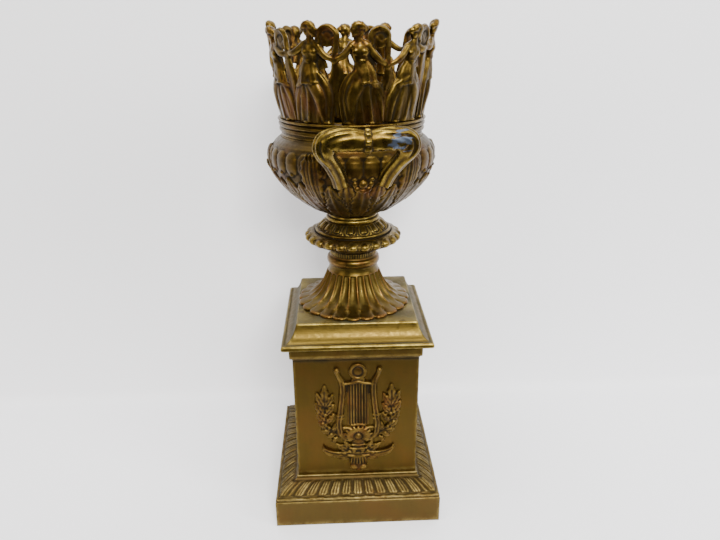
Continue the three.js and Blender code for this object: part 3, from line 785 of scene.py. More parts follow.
# %% Bowl
LOBES = 32
LOBE_LOW, LOBE_HIGH = 304.2, 321.2
LOBE_RADIUS = 63
STEPS_A_LOBE = 13
TALL_LEAVES = [math.radians(d) for d in (-90, -34, 34, 90, 146, 214)]
BOWL_PROFILE = [
    (0.01, KNOP_TOP), (19.4, KNOP_TOP), (19.6, 264), (21, 265), (26, 267.2), (31.6, 270), (37.4, 273.8),
    (43.2, 278.2), (48.8, 283.3), (53.7, 288.6), (57.9, 294.2), (60.8, 299.3), (62.3, 304), (63.2, 308.6),
    (63.5, 312.6), (63.1, 316.4), (61.8, 319.8), (59.8, 322.8), (57.6, 325), (55.8, 326.4),
    (54.8, 327.2), (54.2, COLLAR_BOTTOM),
]
BOWL_INSIDE = [(51.4, COLLAR_BOTTOM), (59.8, 310), (57, 299), (45, 284), (24, 270), (0.01, 267.6)]
# Each row of leaves: how many, its turn in leaf widths, then foot, length and half width.
LEAF_ROWS = ((16, 0.0, 24, 29, 8.4), (16, 0.5, 10, 40, 9.6), (8, 0.0, 0, 40, 12.0))


def leaf_height(x, y, width, length, ribs=3, fan=0.0):
    """A leaf lying flat: x across and y up from its foot, in millimetres. Its ribs spread from the foot."""
    t = np.clip(y / length, 0, 1)
    oval = np.clip(np.sin(math.pi * (0.10 + 0.90 * t**0.9)), 0, 1) ** 0.6
    spread = (0.35 + 0.65 * t) * np.sqrt(np.clip(1 - t**5, 0, 1))
    outline = width * (oval * (1 - fan) + spread * fan)
    q = np.abs(x) / np.maximum(outline, 0.3)
    lobed = q / (1 + 0.10 * np.sin(TAU * (t * 6 + 0.1)) * ramp(q, 0.5, 0.9))
    inside = np.clip(1 - lobed, 0, 1) * (y > 0) * (y < length)
    edge = ramp(inside, 0, 0.22)
    rim = np.exp(-(((q - 0.86) / 0.09) ** 2))
    rib = np.cos(q * math.pi * ribs) * ramp(inside, 0.1, 0.3)
    midrib = np.exp(-((x / (0.07 * width + 0.3)) ** 2))
    return edge * (0.8 + 0.35 * np.sqrt(inside) + 0.10 * rib + 0.20 * rim + 0.40 * midrib * (1 - 0.4 * t))


def turned_by(azimuth, centre):
    return (azimuth - centre + math.pi) % TAU - math.pi


def bowl_relief(azimuth, z, radius):
    outer = radius > np.interp(z, [263, 268, 284, 299, 310, 322, 329], [10, 24, 46, 57.8, 60.6, 56, 52.4])
    x = ((azimuth * LOBES / TAU) % 1 - 0.5) * TAU * LOBE_RADIUS / LOBES
    half = TAU * LOBE_RADIUS / LOBES / 2 - 0.15
    middle = np.clip(z, LOBE_LOW + half * 0.8, LOBE_HIGH - half)
    reach = half - np.hypot(x, z - middle)
    pillow = np.sqrt(np.clip(1 - (1 - np.clip(reach / half, 0, 1)) ** 2, 0, 1))
    relief = 1.4 * pillow - 0.3
    berry = 1 - ((x / 1.9) ** 2 + ((z - LOBE_LOW - 0.2) / 1.7) ** 2)
    relief = np.maximum(relief, 2.0 * np.sqrt(np.clip(berry, 0, 1)))
    arc = np.interp(z, [264, 268, 274, 284, 295, 305, 325], [0, 9, 17.5, 31.5, 45.5, 56.5, 77])
    for count, shift, foot, length, width in LEAF_ROWS:
        phase = (azimuth * count / TAU + shift) % 1 - 0.5
        across = phase * TAU * np.maximum(radius, 20) / count
        narrow = np.interp(arc, [0, 20, 50], [0.42, 0.75, 1])
        height = leaf_height(across / narrow, arc - foot, width, length)
        relief = np.where(height > 0.05, height * 1.25, relief)
    for centre in TALL_LEAVES:
        across = turned_by(azimuth, centre) * LOBE_RADIUS
        height = leaf_height(across, arc - 30, 12.5, 43, 6, fan=0.9)
        relief = np.where(height > 0.05, 0.5 + height * 1.35, relief)
    return np.where(outer, relief, 0)


def curled_tip(bm, azimuth, z, radius, size):
    """The end of a big leaf, turned over and outwards."""
    made = bmesh.new()
    for shift in (-1, 0, 1):
        width = size * (0.5 if shift else 0.62)
        points = [
            (shift * size * 0.55, -radius + 1.5, z - size),
            (shift * size * 0.62, -radius - 0.4, z - size * 0.2),
            (shift * size * 0.66, -radius - 1.3, z + size * 0.25),
            (shift * size * 0.7, -radius - 1.9, z - size * 0.25),
        ]
        finger = tapered((width, 0.5), (width, 1.0), (width * 0.9, 0.9), (width * 0.5, 0.5))
        sweep(made, points, finger, 12, 14, (1, 0, 0.01))
    bmesh.ops.rotate(made, verts=made.verts, cent=(0, 0, 0), matrix=Matrix.Rotation(azimuth, 3, "Z"))
    add_to(bm, made)


bowl_bm = turned(fine(BOWL_PROFILE, 0.75) + fine(BOWL_INSIDE, 9), LOBES * STEPS_A_LOBE)
bowl_mesh = mesh_of("bowl_casting", bowl_bm)
carve(bowl_mesh, bowl_relief)
place("bowl_casting", turn_round(bowl_mesh, URN_TURN), ["bowl"], "bowl_finish", bowl_skin)

# %% Curled leaf tips and rosettes
TIP_AT = 319
SIDE_TIP_AT = 307
TIP_RADIUS = 63.4
TIP_SIZE = 4.6
ROSETTE_AT = 301
PETALS = 8
PETAL_REACH = 5.6
ORNAMENT_VOXEL = 0.55
tips_bm = bmesh.new()
for centre in TALL_LEAVES:
    at_the_side = abs(abs(centre) - TAU / 4) < 0.01
    curled_tip(tips_bm, centre, SIDE_TIP_AT if at_the_side else TIP_AT, TIP_RADIUS, TIP_SIZE)
for centre in (0, math.pi):
    ring = bmesh.new()
    lump(ring, (0, -62.0, ROSETTE_AT), (3.4, 2.6, 3.4))
    for i in range(PETALS):
        angle = TAU * i / PETALS
        out = -60.4 - 0.5 * math.cos(angle)
        petal_at = (PETAL_REACH * math.sin(angle), out, ROSETTE_AT + PETAL_REACH * math.cos(angle))
        lump(ring, petal_at, (2.7, 1.9, 2.2), angle)
    bmesh.ops.rotate(ring, verts=ring.verts, cent=(0, 0, 0), matrix=Matrix.Rotation(centre, 3, "Z"))
    add_to(tips_bm, ring)
tips_mesh = recast(mesh_of("bowl_ornament", tips_bm), ORNAMENT_VOXEL, 2)
place("bowl_ornament", turn_round(tips_mesh, URN_TURN), ["bowl"], "bowl_finish", bowl_skin)

# %% [markdown]
# Each handle is two reeded arms that rise from the bowl and carry a bar, and the bar is wrapped by
# two leaves that meet at a beaded band. One sweep makes the whole loop, and its section changes
# along the way: reeds on the arms, a veined leaf on each half of the bar.

# %% Handles
ARM = [(15.0, -58.5, 300), (17.6, -63.5, 308), (22.0, -71.2, 317), (27.4, -78.6, 326.5)]
BAR = [(27.2, -81.0, 333.4), (20.5, -81.7, 336.2), (10.5, -81.9, 336.6)]
HANDLE_PATH = ARM + BAR + [(0, -82.1, 336.0)] + [(-x, y, z) for x, y, z in reversed(ARM + BAR)]


def handle_section(t, angle):
    """The front of the bar is at a quarter turn, its top at a half turn, once the angle is turned over."""
    m = abs(t - 0.5) * 2
    left = t < 0.5
    angle = (math.pi - angle) % TAU
    on_bar = 1 - soft_step(m, 0.50, 0.68)
    tall = 5.4 + 2.3 * on_bar
    deep = 4.2 + 0.8 * on_bar
    low = max(0.0, math.cos(angle))
    high = max(0.0, -math.cos(angle))
    swell = (1 - on_bar) * (0.5 * math.cos(angle * 6) - 0.1)
    if on_bar > 0:
        leaf = soft_step(m, 0.03, 0.09) * on_bar
        curve = m * 5.2 - 0.9 * math.sin(angle) ** 2
        ribs = 0.28 * math.cos(math.pi * (angle * 2.6 + curve)) * soft_step(m, 0.06, 0.2)
        serrated = 0.65 * abs(math.sin(math.pi * m * 11)) * low**3
        swell += leaf * (ribs + serrated + 0.35 * math.exp(-(((angle - 0.75) / 0.3) ** 2)))
        if left or m > 0.42:
            groove = soft_step(m, 0.22, 0.34) * math.exp(-(((angle - 1.95) / 0.15) ** 2))
            groove -= 0.5 * soft_step(m, 0.22, 0.34) * math.exp(-(((angle - 2.25) / 0.14) ** 2))
            swell -= 0.75 * on_bar * groove
    band = 1 - soft_step(m, 0.016, 0.034)
    beads = band * (0.7 + 0.5 * math.cos(angle * 9))
    dip = 0.9 * math.exp(-((m / 0.26) ** 2)) * low - 1.7 * math.exp(-((m / 0.16) ** 2)) * high
    swell += beads + dip
    return tall + swell, deep + swell


handle_bm = bmesh.new()
sweep(handle_bm, HANDLE_PATH, handle_section, 64, 200)
handle_mesh = mesh_of("handle", handle_bm)
for side, turn in (("front", 0), ("back", math.pi)):
    mesh = turn_round(handle_mesh.copy(), URN_TURN + turn)
    skin = worn_handle_skin if side == "front" else handle_skin
    place("handle_" + side + "_casting", mesh, ["handle_" + side], "handle_finish", skin)
bpy.data.meshes.remove(handle_mesh)

# %% [markdown]
# The rim is a reeded collar with a ring of dancers standing on it. The collar is turned. The dancers
# are built like clay figures on a flat board: sweeps for limbs and drapery, lumps for heads and
# hair, all melted into one skin. Each board is then bent round the crown.

# %% Collar
COLLAR_PROFILE = [
    (51.4, COLLAR_BOTTOM), (54.0, COLLAR_BOTTOM + 0.1), (54.2, 329.4), (54.0, 330.2), (54.1, 330.8),
    *bead(54.3, 331.0, 334.6, 1.3), (54.4, 334.8), *bead(54.5, 335.0, 338.4, 1.5), (54.7, 338.6),
    (55.2, 338.9), (56.0, 339.3), (56.5, 339.9), (56.5, 340.6), (56.1, COLLAR_TOP),
    (50, COLLAR_TOP), (50, 331), (51.4, COLLAR_BOTTOM),
]
COLLAR_STEPS = 240
collar_mesh = mesh_of("rim_collar", turned(fine(COLLAR_PROFILE, 0.6), COLLAR_STEPS))
place("rim_collar", turn_round(collar_mesh, URN_TURN), ["rim_gallery"], "crown_finish", crown_skin)

# %% Dancers' poses
DANCERS = 10
CROWN_RADIUS = 51.3
CROWN_FLARE = 0.135
RELIEF_DEPTH = 0.84
PANEL_RADIUS = 58.0
HALF_PANEL = math.pi * PANEL_RADIUS / DANCERS
LINKS = [39, 51, 35, 47, 43]
DANCER_POSES = [
    dict(hip=(1, 36), chest=(-1.5, 48.5), head=(-3.4, 61), hem=(-14, 15), knee=-4,
         bow=(11.5, 56), face=-1),
    dict(hip=(0, 35), chest=(2.5, 47), head=(5, 59.5), hem=(-15, 15), knee=4,
         bow=(14, 57), face=1),
    dict(hip=(-1, 36.5), chest=(-0.5, 49.5), head=(1.4, 62.8), hem=(-14, 14.5), knee=-3,
         bow=(12, 56), face=1),
    dict(hip=(1.5, 35), chest=(-1, 46.5), head=(-4.5, 58.6), hem=(-15, 14), knee=-4,
         bow=(11.5, 55), face=-1),
    dict(hip=(-1, 36), chest=(1.5, 48.5), head=(3, 61.6), hem=(-14, 15), knee=4,
         bow=(14, 57), face=1),
]
POSES = len(DANCER_POSES)


def on_board(u, v, w=0.0):
    """A point of the board: across, up and out, as the scene's axes."""
    return (u, -w, v)


def between(a, b, t):
    return tuple(p + (q - p) * t for p, q in zip(a, b))


# %% Dancers' drapery
def pleated(stops, folds, depth, twist=0.0, phase=0.0):
    """A section with sharp-edged folds that deepen towards the hem."""
    plain = tapered(*stops)

    def section(t, angle):
        across, out = plain(t, angle)
        wave = math.sin(folds * angle + twist * t + phase)
        wave += 0.4 * math.sin((folds * 2 + 1) * angle - 1.3 * twist * t)
        fold = 1 + depth * (0.15 + 0.85 * t) * (abs(wave) ** 0.7 * math.copysign(1, wave)) * 0.6
        return across * fold, out * fold

    return section


def skirt(bm, pose, index):
    low, high = pose["hem"]
    middle, reach = (low + high) / 2, (high - low) / 2
    lean = math.copysign(1, pose["knee"])
    waist = between(pose["hip"], pose["chest"], 0.5)
    hip = pose["hip"]
    path = [on_board(*waist), on_board(hip[0], hip[1] - 2, 0.3), on_board(pose["knee"] * 0.6, 20, 0.6),
            on_board(middle, 0.4, 0.0)]
    stops = [(4.8, 3.0), (9.2, 4.1), (0.72 * reach + 3.4, 4.1), (reach, 3.9)]
    sweep(bm, path, pleated(stops, 11, 0.17, 2.6 * lean, index), 110, 48)
    trail = [on_board(hip[0] - 3 * lean, 33, 0), on_board(middle - 8.5 * lean, 24, 0.5),
             on_board(middle - 13 * lean, 14, 0.3), on_board(middle - 14.5 * lean, 0.6, 0.2)]
    trail_stops = [(3.6, 2.2), (5.4, 2.6), (6.0, 2.6), (5.2, 2.2)]
    sweep(bm, trail, pleated(trail_stops, 6, 0.22, 3.4 * lean, index), 60, 34)
    sash = [on_board(waist[0] + 4 * lean, waist[1] - 1, 1.6), on_board(hip[0], hip[1] - 3, 4.2),
            on_board(hip[0] - 7 * lean, hip[1] - 8, 2.6), on_board(hip[0] - 12 * lean, hip[1] - 11, 0.6)]
    sash_stops = [(1.6, 1.0), (2.4, 1.4), (2.8, 1.5), (2.2, 1.4)]
    sweep(bm, sash, pleated(sash_stops, 4, 0.3, 5 * lean, index), 40, 34)


def peplum(bm, pose, index):
    """The short overskirt below the belt, with a turned hem."""
    waist = between(pose["hip"], pose["chest"], 0.55)
    hip = pose["hip"]
    path = [on_board(*waist), on_board(hip[0] + 0.4, hip[1] - 1, 0.5),
            on_board(hip[0] + 0.8, hip[1] - 8.5, 0.8)]
    pleats = pleated([(4.8, 3.3), (8.2, 4.6), (9.8, 5.2)], 7, 0.12, 0.8, index + 2)

    def section(t, angle):
        across, out = pleats(t, angle)
        hem = 0.5 * math.exp(-(((t - 0.96) / 0.035) ** 2))
        return across + hem, out + hem

    sweep(bm, path, section, 84, 30)


def bow(bm, pose, shoulder, hands):
    """The scarf that flies over the arm: a rolled hoop with a thin pleated veil inside it."""
    cu, cv = pose["bow"]
    around = [math.radians(205 - 44 * i) for i in range(6)]
    hoop = [on_board(cu + 6.2 * math.cos(a), cv + 6.6 * math.sin(a), 0.2) for a in around]

    def roll(t, angle):
        ridge = 1 + 0.16 * math.cos(angle * 4 + t * 9)
        return 2.1 * ridge, 1.9 * ridge

    sweep(bm, [shoulder, *hoop, hands], roll, 28, 64)
    lump(bm, on_board(cu - 0.4, cv - 0.8, 0.3), (5.2, 1.1, 5.3), detail=16)
    for i in range(9):
        a = math.radians(150 + 27 * i)
        rim = on_board(cu + 5.4 * math.cos(a), cv + 5.8 * math.sin(a), 0.8)
        sweep(bm, [on_board(cu + 1.2, cv - 2.6, 1.1), rim], tapered((0.6, 0.7), (1.1, 0.9)), 10, 10)
    tail = [on_board(cu - 5.5, cv - 2.5, -0.6), on_board(cu - 6.5, cv - 11, -0.8),
            on_board(cu - 4.5, cv - 20, -0.6)]
    sweep(bm, tail, pleated([(2.0, 1.2), (3.4, 1.5), (4.2, 1.5)], 4, 0.25, 2, 1), 36, 24)


def hanging_scarf(bm, hands, index):
    """The free end of the scarf, hanging from the joined hands."""
    u, w, v = hands[0], -hands[1], hands[2]
    low = 5.0 + 4 * (index % 2)
    sway = 1.6 if index % 2 else -1.6
    path = [on_board(u - 0.5, v, w), on_board(u - sway, v - 8, 0.2),
            on_board(u + sway * 0.4, (v + low) / 2 - 2, -0.2), on_board(u - sway, low, -0.4)]
    stops = [(1.8, 1.6), (4.0, 1.8), (5.0, 1.8), (5.2, 1.6), (2.0, 0.9)]
    sweep(bm, path, pleated(stops, 5, 0.28, 2.5, index), 50, 40)


# %% Dancers' bodies
def head(bm, pose):
    u, v = pose["head"]
    face = pose["face"]
    lump(bm, on_board(u + 0.5 * face, v + 0.9, 0.5), (3.4, 3.6, 4.7), 0.14 * face, 18)
    lump(bm, on_board(u + 1.5 * face, v - 0.9, 1.2), (2.3, 2.6, 2.6), detail=14)
    lump(bm, on_board(u + 3.3 * face, v + 0.5, 2.2), (1.2, 1.2, 1.4), 0.3 * face, 10)
    lump(bm, on_board(u + 2.4 * face, v - 2.0, 2.5), (1.3, 0.9, 0.7), detail=8)
    lump(bm, on_board(u + 2.2 * face, v - 3.4, 1.8), (1.2, 1.3, 1.0), detail=8)
    lump(bm, on_board(u + 2.1 * face, v + 2.2, 2.9), (1.9, 1.0, 0.7), detail=8)
    lump(bm, on_board(u - 1.0 * face, v + 2.3, 0.1), (4.1, 4.0, 3.7), 0.2 * face, 18)
    lump(bm, on_board(u - 5.0 * face, v + 1.4, 0), (2.7, 2.6, 2.4), 0.5 * face)
    lump(bm, on_board(u - 2.6 * face, v - 1.0, 0.2), (2.3, 3.3, 2.8))
    for i in range(7):
        a = math.radians(-96 + 32 * i)
        curl = [on_board(u - 1.0 * face + 1.2 * math.sin(a) * face, v + 2.3 + 0.8 * math.cos(a), 4.1),
                on_board(u - 1.0 * face + 3.4 * math.sin(a) * face, v + 2.2 + 2.8 * math.cos(a), 3.2),
                on_board(u - 1.0 * face + 4.5 * math.sin(a) * face, v + 2.0 + 3.9 * math.cos(a), 0.4)]
        sweep(bm, curl, tapered((0.7, 0.8), (1.0, 1.1), (0.9, 0.8)), 8, 8)
    band = [on_board(u - 4.6 * face, v + 4.4, 1.2), on_board(u - 0.6 * face, v + 4.6, 3.8),
            on_board(u + 2.8 * face, v + 3.4, 2.4)]
    sweep(bm, band, tapered(0.6, 0.7, 0.6), 8, 12, (0, 0, 1))


def torso(bm, pose):
    hip, chest, crown = pose["hip"], pose["chest"], pose["head"]
    waist = between(hip, chest, 0.5)
    bodice = pleated([(6.6, 3.8), (5.0, 3.2), (6.6, 4.2), (6.0, 3.6), (2.6, 2.2)], 8, 0.07, 2.4)
    trunk = [on_board(hip[0], hip[1] - 2), on_board(*waist, 0.2), on_board(chest[0], chest[1], 0.5),
             on_board(chest[0], chest[1] + 3.4, 0.3), on_board(chest[0], chest[1] + 6.0, 0.1)]
    sweep(bm, trunk, bodice, 60, 30)
    for side in (-1, 1):
        slope = [on_board(chest[0] + 1.2 * side, chest[1] + 6.2, 0.1),
                 on_board(chest[0] + 5.2 * side, chest[1] + 4.0, 0.3)]
        sweep(bm, slope, tapered((2.0, 2.0), (2.6, 2.5)), 14, 8)
    throat = between((chest[0], chest[1] + 5), crown, 0.45)
    neck = [on_board(chest[0], chest[1] + 2.6, 0.2), on_board(*throat, 0.2), on_board(*crown)]
    sweep(bm, neck, tapered((4.4, 3.0), (2.5, 2.4), (2.3, 2.4)), 18, 14)
    for side in (-1, 1):
        lump(bm, on_board(chest[0] + 2.8 * side, chest[1] - 0.4, 2.8), (2.7, 2.2, 2.5), detail=16)
        lump(bm, on_board(chest[0] + 5.0 * side, chest[1] + 3.6, 0.2), (3.0, 3.0, 2.7), detail=16)
    belt = [on_board(waist[0] - 5.4, waist[1] + 0.9, -0.4), on_board(waist[0], waist[1] + 0.2, 3.5),
            on_board(waist[0] + 5.4, waist[1] + 0.9, -0.4)]
    sweep(bm, belt, tapered(0.8, 1.0, 0.8), 10, 20, (0, 0, 1))


def legs(bm, pose):
    """A leg that shows its shape through the skirt, and two bare feet below the hem."""
    lean = math.copysign(1, pose["knee"])
    toe = pose["hem"][0] + 6 if lean < 0 else pose["hem"][1] - 6
    knee = pose["knee"] * 1.5
    path = [on_board(pose["hip"][0], 31, 1.2), on_board(knee, 20.5, 3.0),
            on_board(toe - 1.4 * lean, 8, 2.2), on_board(toe, 2.0, 2.0)]
    sweep(bm, path, tapered((5.4, 4.0), (4.7, 3.7), (3.2, 2.8), (1.8, 1.8)), 28, 30)
    lump(bm, on_board(toe + 1.6 * lean, 1.0, 2.6), (3.4, 1.9, 1.3))
    other = pose["hem"][1] - 8 if lean < 0 else pose["hem"][0] + 8
    sweep(bm, [on_board(other, 8, 0.8), on_board(other, 1.2, 1.4)], tapered(2.2, 1.6), 14, 6)
    lump(bm, on_board(other - 0.8 * lean, 0.9, 2.4), (3.0, 2.2, 1.2))


def arms(bm, index):
    pose, after = (DANCER_POSES[i % POSES] for i in (index, index + 1))
    start = on_board(pose["chest"][0] + 4.9, pose["chest"][1] + 3.6, 0.4)
    end = on_board(2 * HALF_PANEL + after["chest"][0] - 4.9, after["chest"][1] + 3.6, 0.4)
    hands = on_board(HALF_PANEL, LINKS[index % POSES], 1.0)
    for shoulder in (start, end):
        elbow = Vector(between(shoulder, hands, 0.5)) + Vector(on_board(0, -1.8, 1.3))
        sweep(bm, [shoulder, tuple(elbow), hands], tapered(2.7, 2.5, 2.3, 2.0, 1.5), 20, 26)
    lump(bm, hands, (2.3, 2.1, 2.0))
    for i in range(3):
        lump(bm, (hands[0] - 1.3 + i * 1.3, hands[1] - 1.5, hands[2] - 0.6), (0.65, 0.8, 1.5), 0.4, 8)
    bow(bm, pose, start, hands)
    hanging_scarf(bm, hands, index)


# %% Bending and placing the dancers
def bend(mesh, turn):
    co = in_millimetres(mesh)
    azimuth = turn + co[:, 0] / PANEL_RADIUS
    radius = CROWN_RADIUS + CROWN_FLARE * co[:, 2] - co[:, 1] * RELIEF_DEPTH
    height = COLLAR_TOP - 0.2 + co[:, 2]
    put_back(mesh, np.stack([radius * np.sin(azimuth), -radius * np.cos(azimuth), height], 1))
    return mesh


DANCER_VOXEL = 0.65
for index, pose in enumerate(DANCER_POSES):
    board = bmesh.new()
    skirt(board, pose, index)
    peplum(board, pose, index)
    torso(board, pose)
    legs(board, pose)
    head(board, pose)
    arms(board, index)
    flat = recast(mesh_of("dancer", board), DANCER_VOXEL, 1)
    for half in (0, 1):
        name = "dancer_" + str(index + 1 + POSES * half)
        turn = TAU * (index + POSES * half) / DANCERS + URN_TURN
        place(name, bend(flat.copy(), turn), ["rim_gallery"], "crown_finish", crown_skin)

# %% [markdown]
# The lyre is a low relief on the front of the die: two curved arms, a crossbar with a ring, strings,
# a palmette below, leafy sprigs at the sides and a boat-shaped scroll at the foot. It is built in
# the same clay way as the dancers, on the plane of the die.

# %% Lyre
LYRE_OFFSET = 1.2
LYRE_VOXEL = 0.64
LYRE_ARM = [
    (17.6, 143.5), (16.0, 139), (13.4, 133), (12.8, 126), (13.6, 114), (14.8, 103), (16.0, 92),
    (15.0, 82), (9.5, 75),
]
# The sprig's leaves: foot, tip and half width.
SPRIG = (
    ((28, 111), (27.4, 130), 3.8), ((28, 108), (34.4, 123), 3.2), ((27, 108), (20.4, 121.5), 3.0),
    ((28.4, 101), (35.4, 113.5), 3.1), ((27, 101), (19.6, 111.5), 2.9), ((27.6, 94), (34.6, 104), 3.0),
    ((26, 93), (19.8, 102.5), 2.6), ((25.4, 88), (33.0, 94.5), 2.9), ((23, 84), (31.2, 86), 2.8),
    ((20, 82), (26.6, 78.6), 2.5), ((20, 84), (19.6, 92.5), 2.3), ((17, 78), (22.6, 73.6), 2.2),
)


def on_die(u, z, out=0.0):
    return (LYRE_OFFSET + u, -DIE_HALF - out, z)


def relief_bar(bm, points, half, thick, sides=14, steps=24):
    sweep(bm, [on_die(u, z, 0.3) for u, z in points], tapered(*[(w, thick) for w in half]), sides, steps)


def sprig_leaf(bm, foot, tip, width, thick=1.9):
    """A leaf with a scalloped edge and a groove down its middle."""
    middle = between(foot, tip, 0.5)
    path = [on_die(*foot, 0.2), on_die(middle[0], middle[1], 0.9), on_die(*tip, 0.7)]

    def section(t, angle):
        outline = width * math.sin(math.pi * (0.06 + 0.9 * t) ** 0.8) ** 0.8 * (1 + 0.2 * math.sin(t * 22))
        groove = 1 - 0.45 * math.exp(-((math.cos(angle) / 0.22) ** 2))
        return outline, thick * groove * (0.5 + 0.5 * math.sin(math.pi * t))

    sweep(bm, path, section, 24, 22)


def lyre_side(bm, s):
    arm_widths = (2.0, 2.0, 2.7, 3.0, 2.9, 3.1, 3.2, 3.0, 2.4)
    relief_bar(bm, [(s * u, z) for u, z in LYRE_ARM], arm_widths, 2.3, 16, 60)
    for shift in (-1.5, 1.5):
        relief_bar(bm, [(s * (u + shift), z) for u, z in LYRE_ARM[2:8]], (0.5, 0.6, 0.5), 3.0, 8, 40)
    lump(bm, on_die(s * 17.4, 144, 0.8), (2.5, 2.4, 2.5))
    for i in range(4):
        lump(bm, on_die(s * (12.2 + 1.8 * i), 101.0, 1.8), (1.0, 1.6, 1.1), detail=8)
        lump(bm, on_die(s * (12.4 + 1.8 * i), 97.6, 1.7), (1.0, 1.4, 0.9), detail=8)
    stem = ((13, 80), (20, 82), (26.6, 91), (28.6, 103), (28.4, 118))
    relief_bar(bm, [(s * u, z) for u, z in stem], (1.3, 1.2, 1.1, 0.8), 1.4, 10, 30)
    for foot, tip, width in SPRIG:
        sprig_leaf(bm, (s * foot[0], foot[1]), (s * tip[0], tip[1]), width, 2.3)
    for u, z in ((27.2, 101.5), (29.8, 103.4), (24.2, 88.4), (31.6, 97.6), (22.0, 98.0)):
        lump(bm, on_die(s * u, z, 1.9), (1.5, 1.5, 1.5), detail=10)
    scroll = [(9, 60.6), (14, 59.8), (19, 60.2), (24, 61.6), (28.2, 64.2), (30.0, 67)]
    relief_bar(bm, [(s * u, z) for u, z in scroll], (2.6, 2.5, 2.2, 1.9, 1.5, 1.1), 2.2, 14, 34)
    relief_bar(bm, [(s * u, z + 2.8) for u, z in scroll], (0.8, 0.9, 0.8, 0.7), 2.9, 8, 30)
    relief_bar(bm, [(s * u, z - 2.0) for u, z in scroll[:-1]], (0.7, 0.7, 0.6), 2.5, 8, 30)
    sprig_leaf(bm, (s * 8, 63), (s * 19.4, 71.5), 3.0)
    sprig_leaf(bm, (s * 7, 66), (s * 12.4, 74.5), 2.4)
    sprig_leaf(bm, (s * 7, 57), (s * 17, 55.6), 2.2)
    for i in range(3):
        lump(bm, on_die(s * (3.6 + 4.2 * i), 64.6 - 1.2 * i, 1.6), (2.1, 1.8, 1.7), detail=10)


lyre_bm = bmesh.new()
for s in (-1, 1):
    lyre_side(lyre_bm, s)
ring_turns = np.linspace(math.radians(-168), math.radians(168), 14)
ring_path = [on_die(6.0 * math.sin(a), 142.4 + 6.2 * math.cos(a), 0.4) for a in ring_turns]
sweep(lyre_bm, ring_path, tapered(1.4, 1.5, 1.4), 12, 48)
lump(lyre_bm, on_die(0, 141.8, 0.0), (4.6, 1.2, 4.8))
crossbar = [(-13.2, 131.2), (-6, 131.8), (0, 133.2), (6, 131.8), (13.2, 131.2)]
relief_bar(lyre_bm, crossbar, (1.4, 1.5, 1.9, 1.5, 1.4), 2.6, 14, 30)
relief_bar(lyre_bm, [(-5.5, 134.6), (0, 136.4), (5.5, 134.6)], (0.9, 1.2, 0.9), 1.8, 10, 16)
relief_bar(lyre_bm, [(0, 132), (0, 90)], (10.6, 10.6), 0.7, 8, 6)
for i in range(6):
    relief_bar(lyre_bm, [((i - 2.5) * 2.35, 131), ((i - 2.5) * 2.35, 91)], (0.55, 0.55), 2.0, 8, 8)
relief_bar(lyre_bm, [(-6.4, 90.4), (0, 91.2), (6.4, 90.4)], (1.2, 1.4, 1.2), 2.5, 12, 14)
relief_bar(lyre_bm, [(-15, 88), (0, 86.4), (15, 88)], (1.2, 1.4, 1.2), 1.8, 12, 18)
PALMETTE_AT = 79.6
for i in range(13):
    a = math.radians(-120 + 20 * i)
    foot = (2.4 * math.sin(a), PALMETTE_AT + 2.4 * math.cos(a))
    tip = (12.2 * math.sin(a), PALMETTE_AT + 10.0 * math.cos(a))
    sprig_leaf(lyre_bm, foot, tip, 2.1, 2.7)
lump(lyre_bm, on_die(0, 79.2, 1.4), (3.2, 2.2, 3.2))
relief_bar(lyre_bm, [(0, 76), (0, 69), (0, 61)], (6.6, 4.4, 8.6), 1.9, 20, 18)
for z, half in ((70.4, 6.2), (66.6, 7.4), (62.4, 9.4)):
    relief_bar(lyre_bm, [(-half, z + 0.3), (0, z - 0.3), (half, z + 0.3)], (1.0, 1.1, 1.0), 2.8, 10, 16)
relief_bar(lyre_bm, [(-9, 59.6), (0, 58.2), (9, 59.6)], (1.8, 2.0, 1.8), 2.9, 12, 18)
relief_bar(lyre_bm, [(0, 60), (0, 55), (0, 50), (0, 43.4)], (6.4, 7.9, 7.6, 4.8), 2.6, 24, 20)
for i in range(6):
    relief_bar(lyre_bm, [((i - 2.5) * 2.3, 57), ((i - 2.5) * 2.7, 51)], (0.9, 1.0), 3.3, 8, 8)
for u in (-3.7, 3.7):
    lump(lyre_bm, on_die(u, 47.0, 1.6), (3.8, 2.2, 3.2))
lyre_mesh = recast(mesh_of("lyre_relief", lyre_bm), LYRE_VOXEL, 1)
place("lyre_relief", lyre_mesh, ["lyre_mount"], "lyre_finish", lyre_skin)

# %% [markdown]
# The urn stands on a pale table against a pale wall. Both are one plain sheet with a soft bend. The
# main lamp is high in front. A long one hangs overhead, a weaker one stands at the right and a weak
# warm one at the left. The surround is dim, so that the metal looks dark where it mirrors the room.

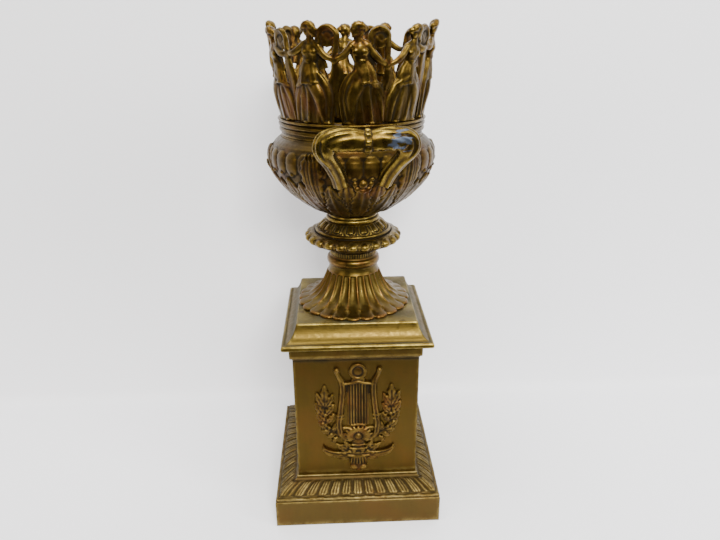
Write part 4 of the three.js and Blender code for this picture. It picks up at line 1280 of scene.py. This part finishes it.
# %% Table, wall and light
WALL_AT = 0.135
WALL_TOP = 2.5
TABLE_FRONT = -0.27
SHEET_BEND = 0.012
SHEET_WIDTH = 6
sheet_bm = bmesh.new()
bend_turn = [math.radians(a) for a in range(0, 91, 15)]
bend_line = [
    (WALL_AT - SHEET_BEND + SHEET_BEND * math.sin(a), SHEET_BEND - SHEET_BEND * math.cos(a))
    for a in bend_turn
]
sheet_line = [(TABLE_FRONT, 0), *bend_line, (WALL_AT, WALL_TOP)]
sheet_verts = [sheet_bm.verts.new((-SHEET_WIDTH / 2, y, z)) for y, z in sheet_line]
sheet_edges = [sheet_bm.edges.new(pair) for pair in zip(sheet_verts, sheet_verts[1:])]
drawn = bmesh.ops.extrude_edge_only(sheet_bm, edges=sheet_edges)["geom"]
drawn_verts = [g for g in drawn if isinstance(g, bmesh.types.BMVert)]
bmesh.ops.translate(sheet_bm, vec=(SHEET_WIDTH, 0, 0), verts=drawn_verts)
floor = bpy.data.objects.new("floor", mesh_of("floor", sheet_bm, outward=False))
floor_skin = bpy.data.materials.new("pale floor")
floor_skin.use_nodes = True
floor_skin.node_tree.nodes["Principled BSDF"].inputs["Base Color"].default_value = (0.91, 0.91, 0.93, 1)
floor_skin.node_tree.nodes["Principled BSDF"].inputs["Roughness"].default_value = 0.85
floor.data.materials.append(floor_skin)
floor.data.shade_smooth()
bpy.context.scene.collection.objects.link(floor)
floor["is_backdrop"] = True


def soft_lamp(name, place, aim, size, power, colour=(1, 1, 1)):
    lamp = bpy.data.lights.new(name, "AREA")
    lamp.shape = "RECTANGLE"
    lamp.size, lamp.size_y = size
    lamp.energy = power
    lamp.color = colour
    obj = bpy.data.objects.new(name, lamp)
    obj.location = place
    obj.rotation_mode = "QUATERNION"
    obj.rotation_quaternion = (Vector(aim) - Vector(place)).to_track_quat("-Z", "Y")
    bpy.context.scene.collection.objects.link(obj)


soft_lamp("front", (0.30, -1.9, 1.35), (0, 0, 0.15), (0.9, 0.5), 74, (1, 0.99, 0.96))
soft_lamp("right", (1.2, -0.7, 0.9), (0, 0, 0.2), (0.4, 0.8), 13)
soft_lamp("overhead", (-0.1, -0.3, 1.6), (0, 0.0, 0.0), (1.4, 0.4), 26)
soft_lamp("fill", (-1.5, -1.0, 0.7), (0, 0, 0.25), (0.5, 0.8), 8, (1, 0.86, 0.72))
world = bpy.data.worlds.new("surround")
world.use_nodes = True
world.node_tree.nodes["Background"].inputs["Color"].default_value = (0.80, 0.82, 0.85, 1)
world.node_tree.nodes["Background"].inputs["Strength"].default_value = 0.10
bpy.context.scene.world = world

# %% Sizes
visual_box = [list(corner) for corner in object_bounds()]
changes = [[round((v - c) / MM, 1) for v, c in zip(a, b)] for a, b in zip(visual_box, cad_box)]
print("visual minus model, mm:", changes)
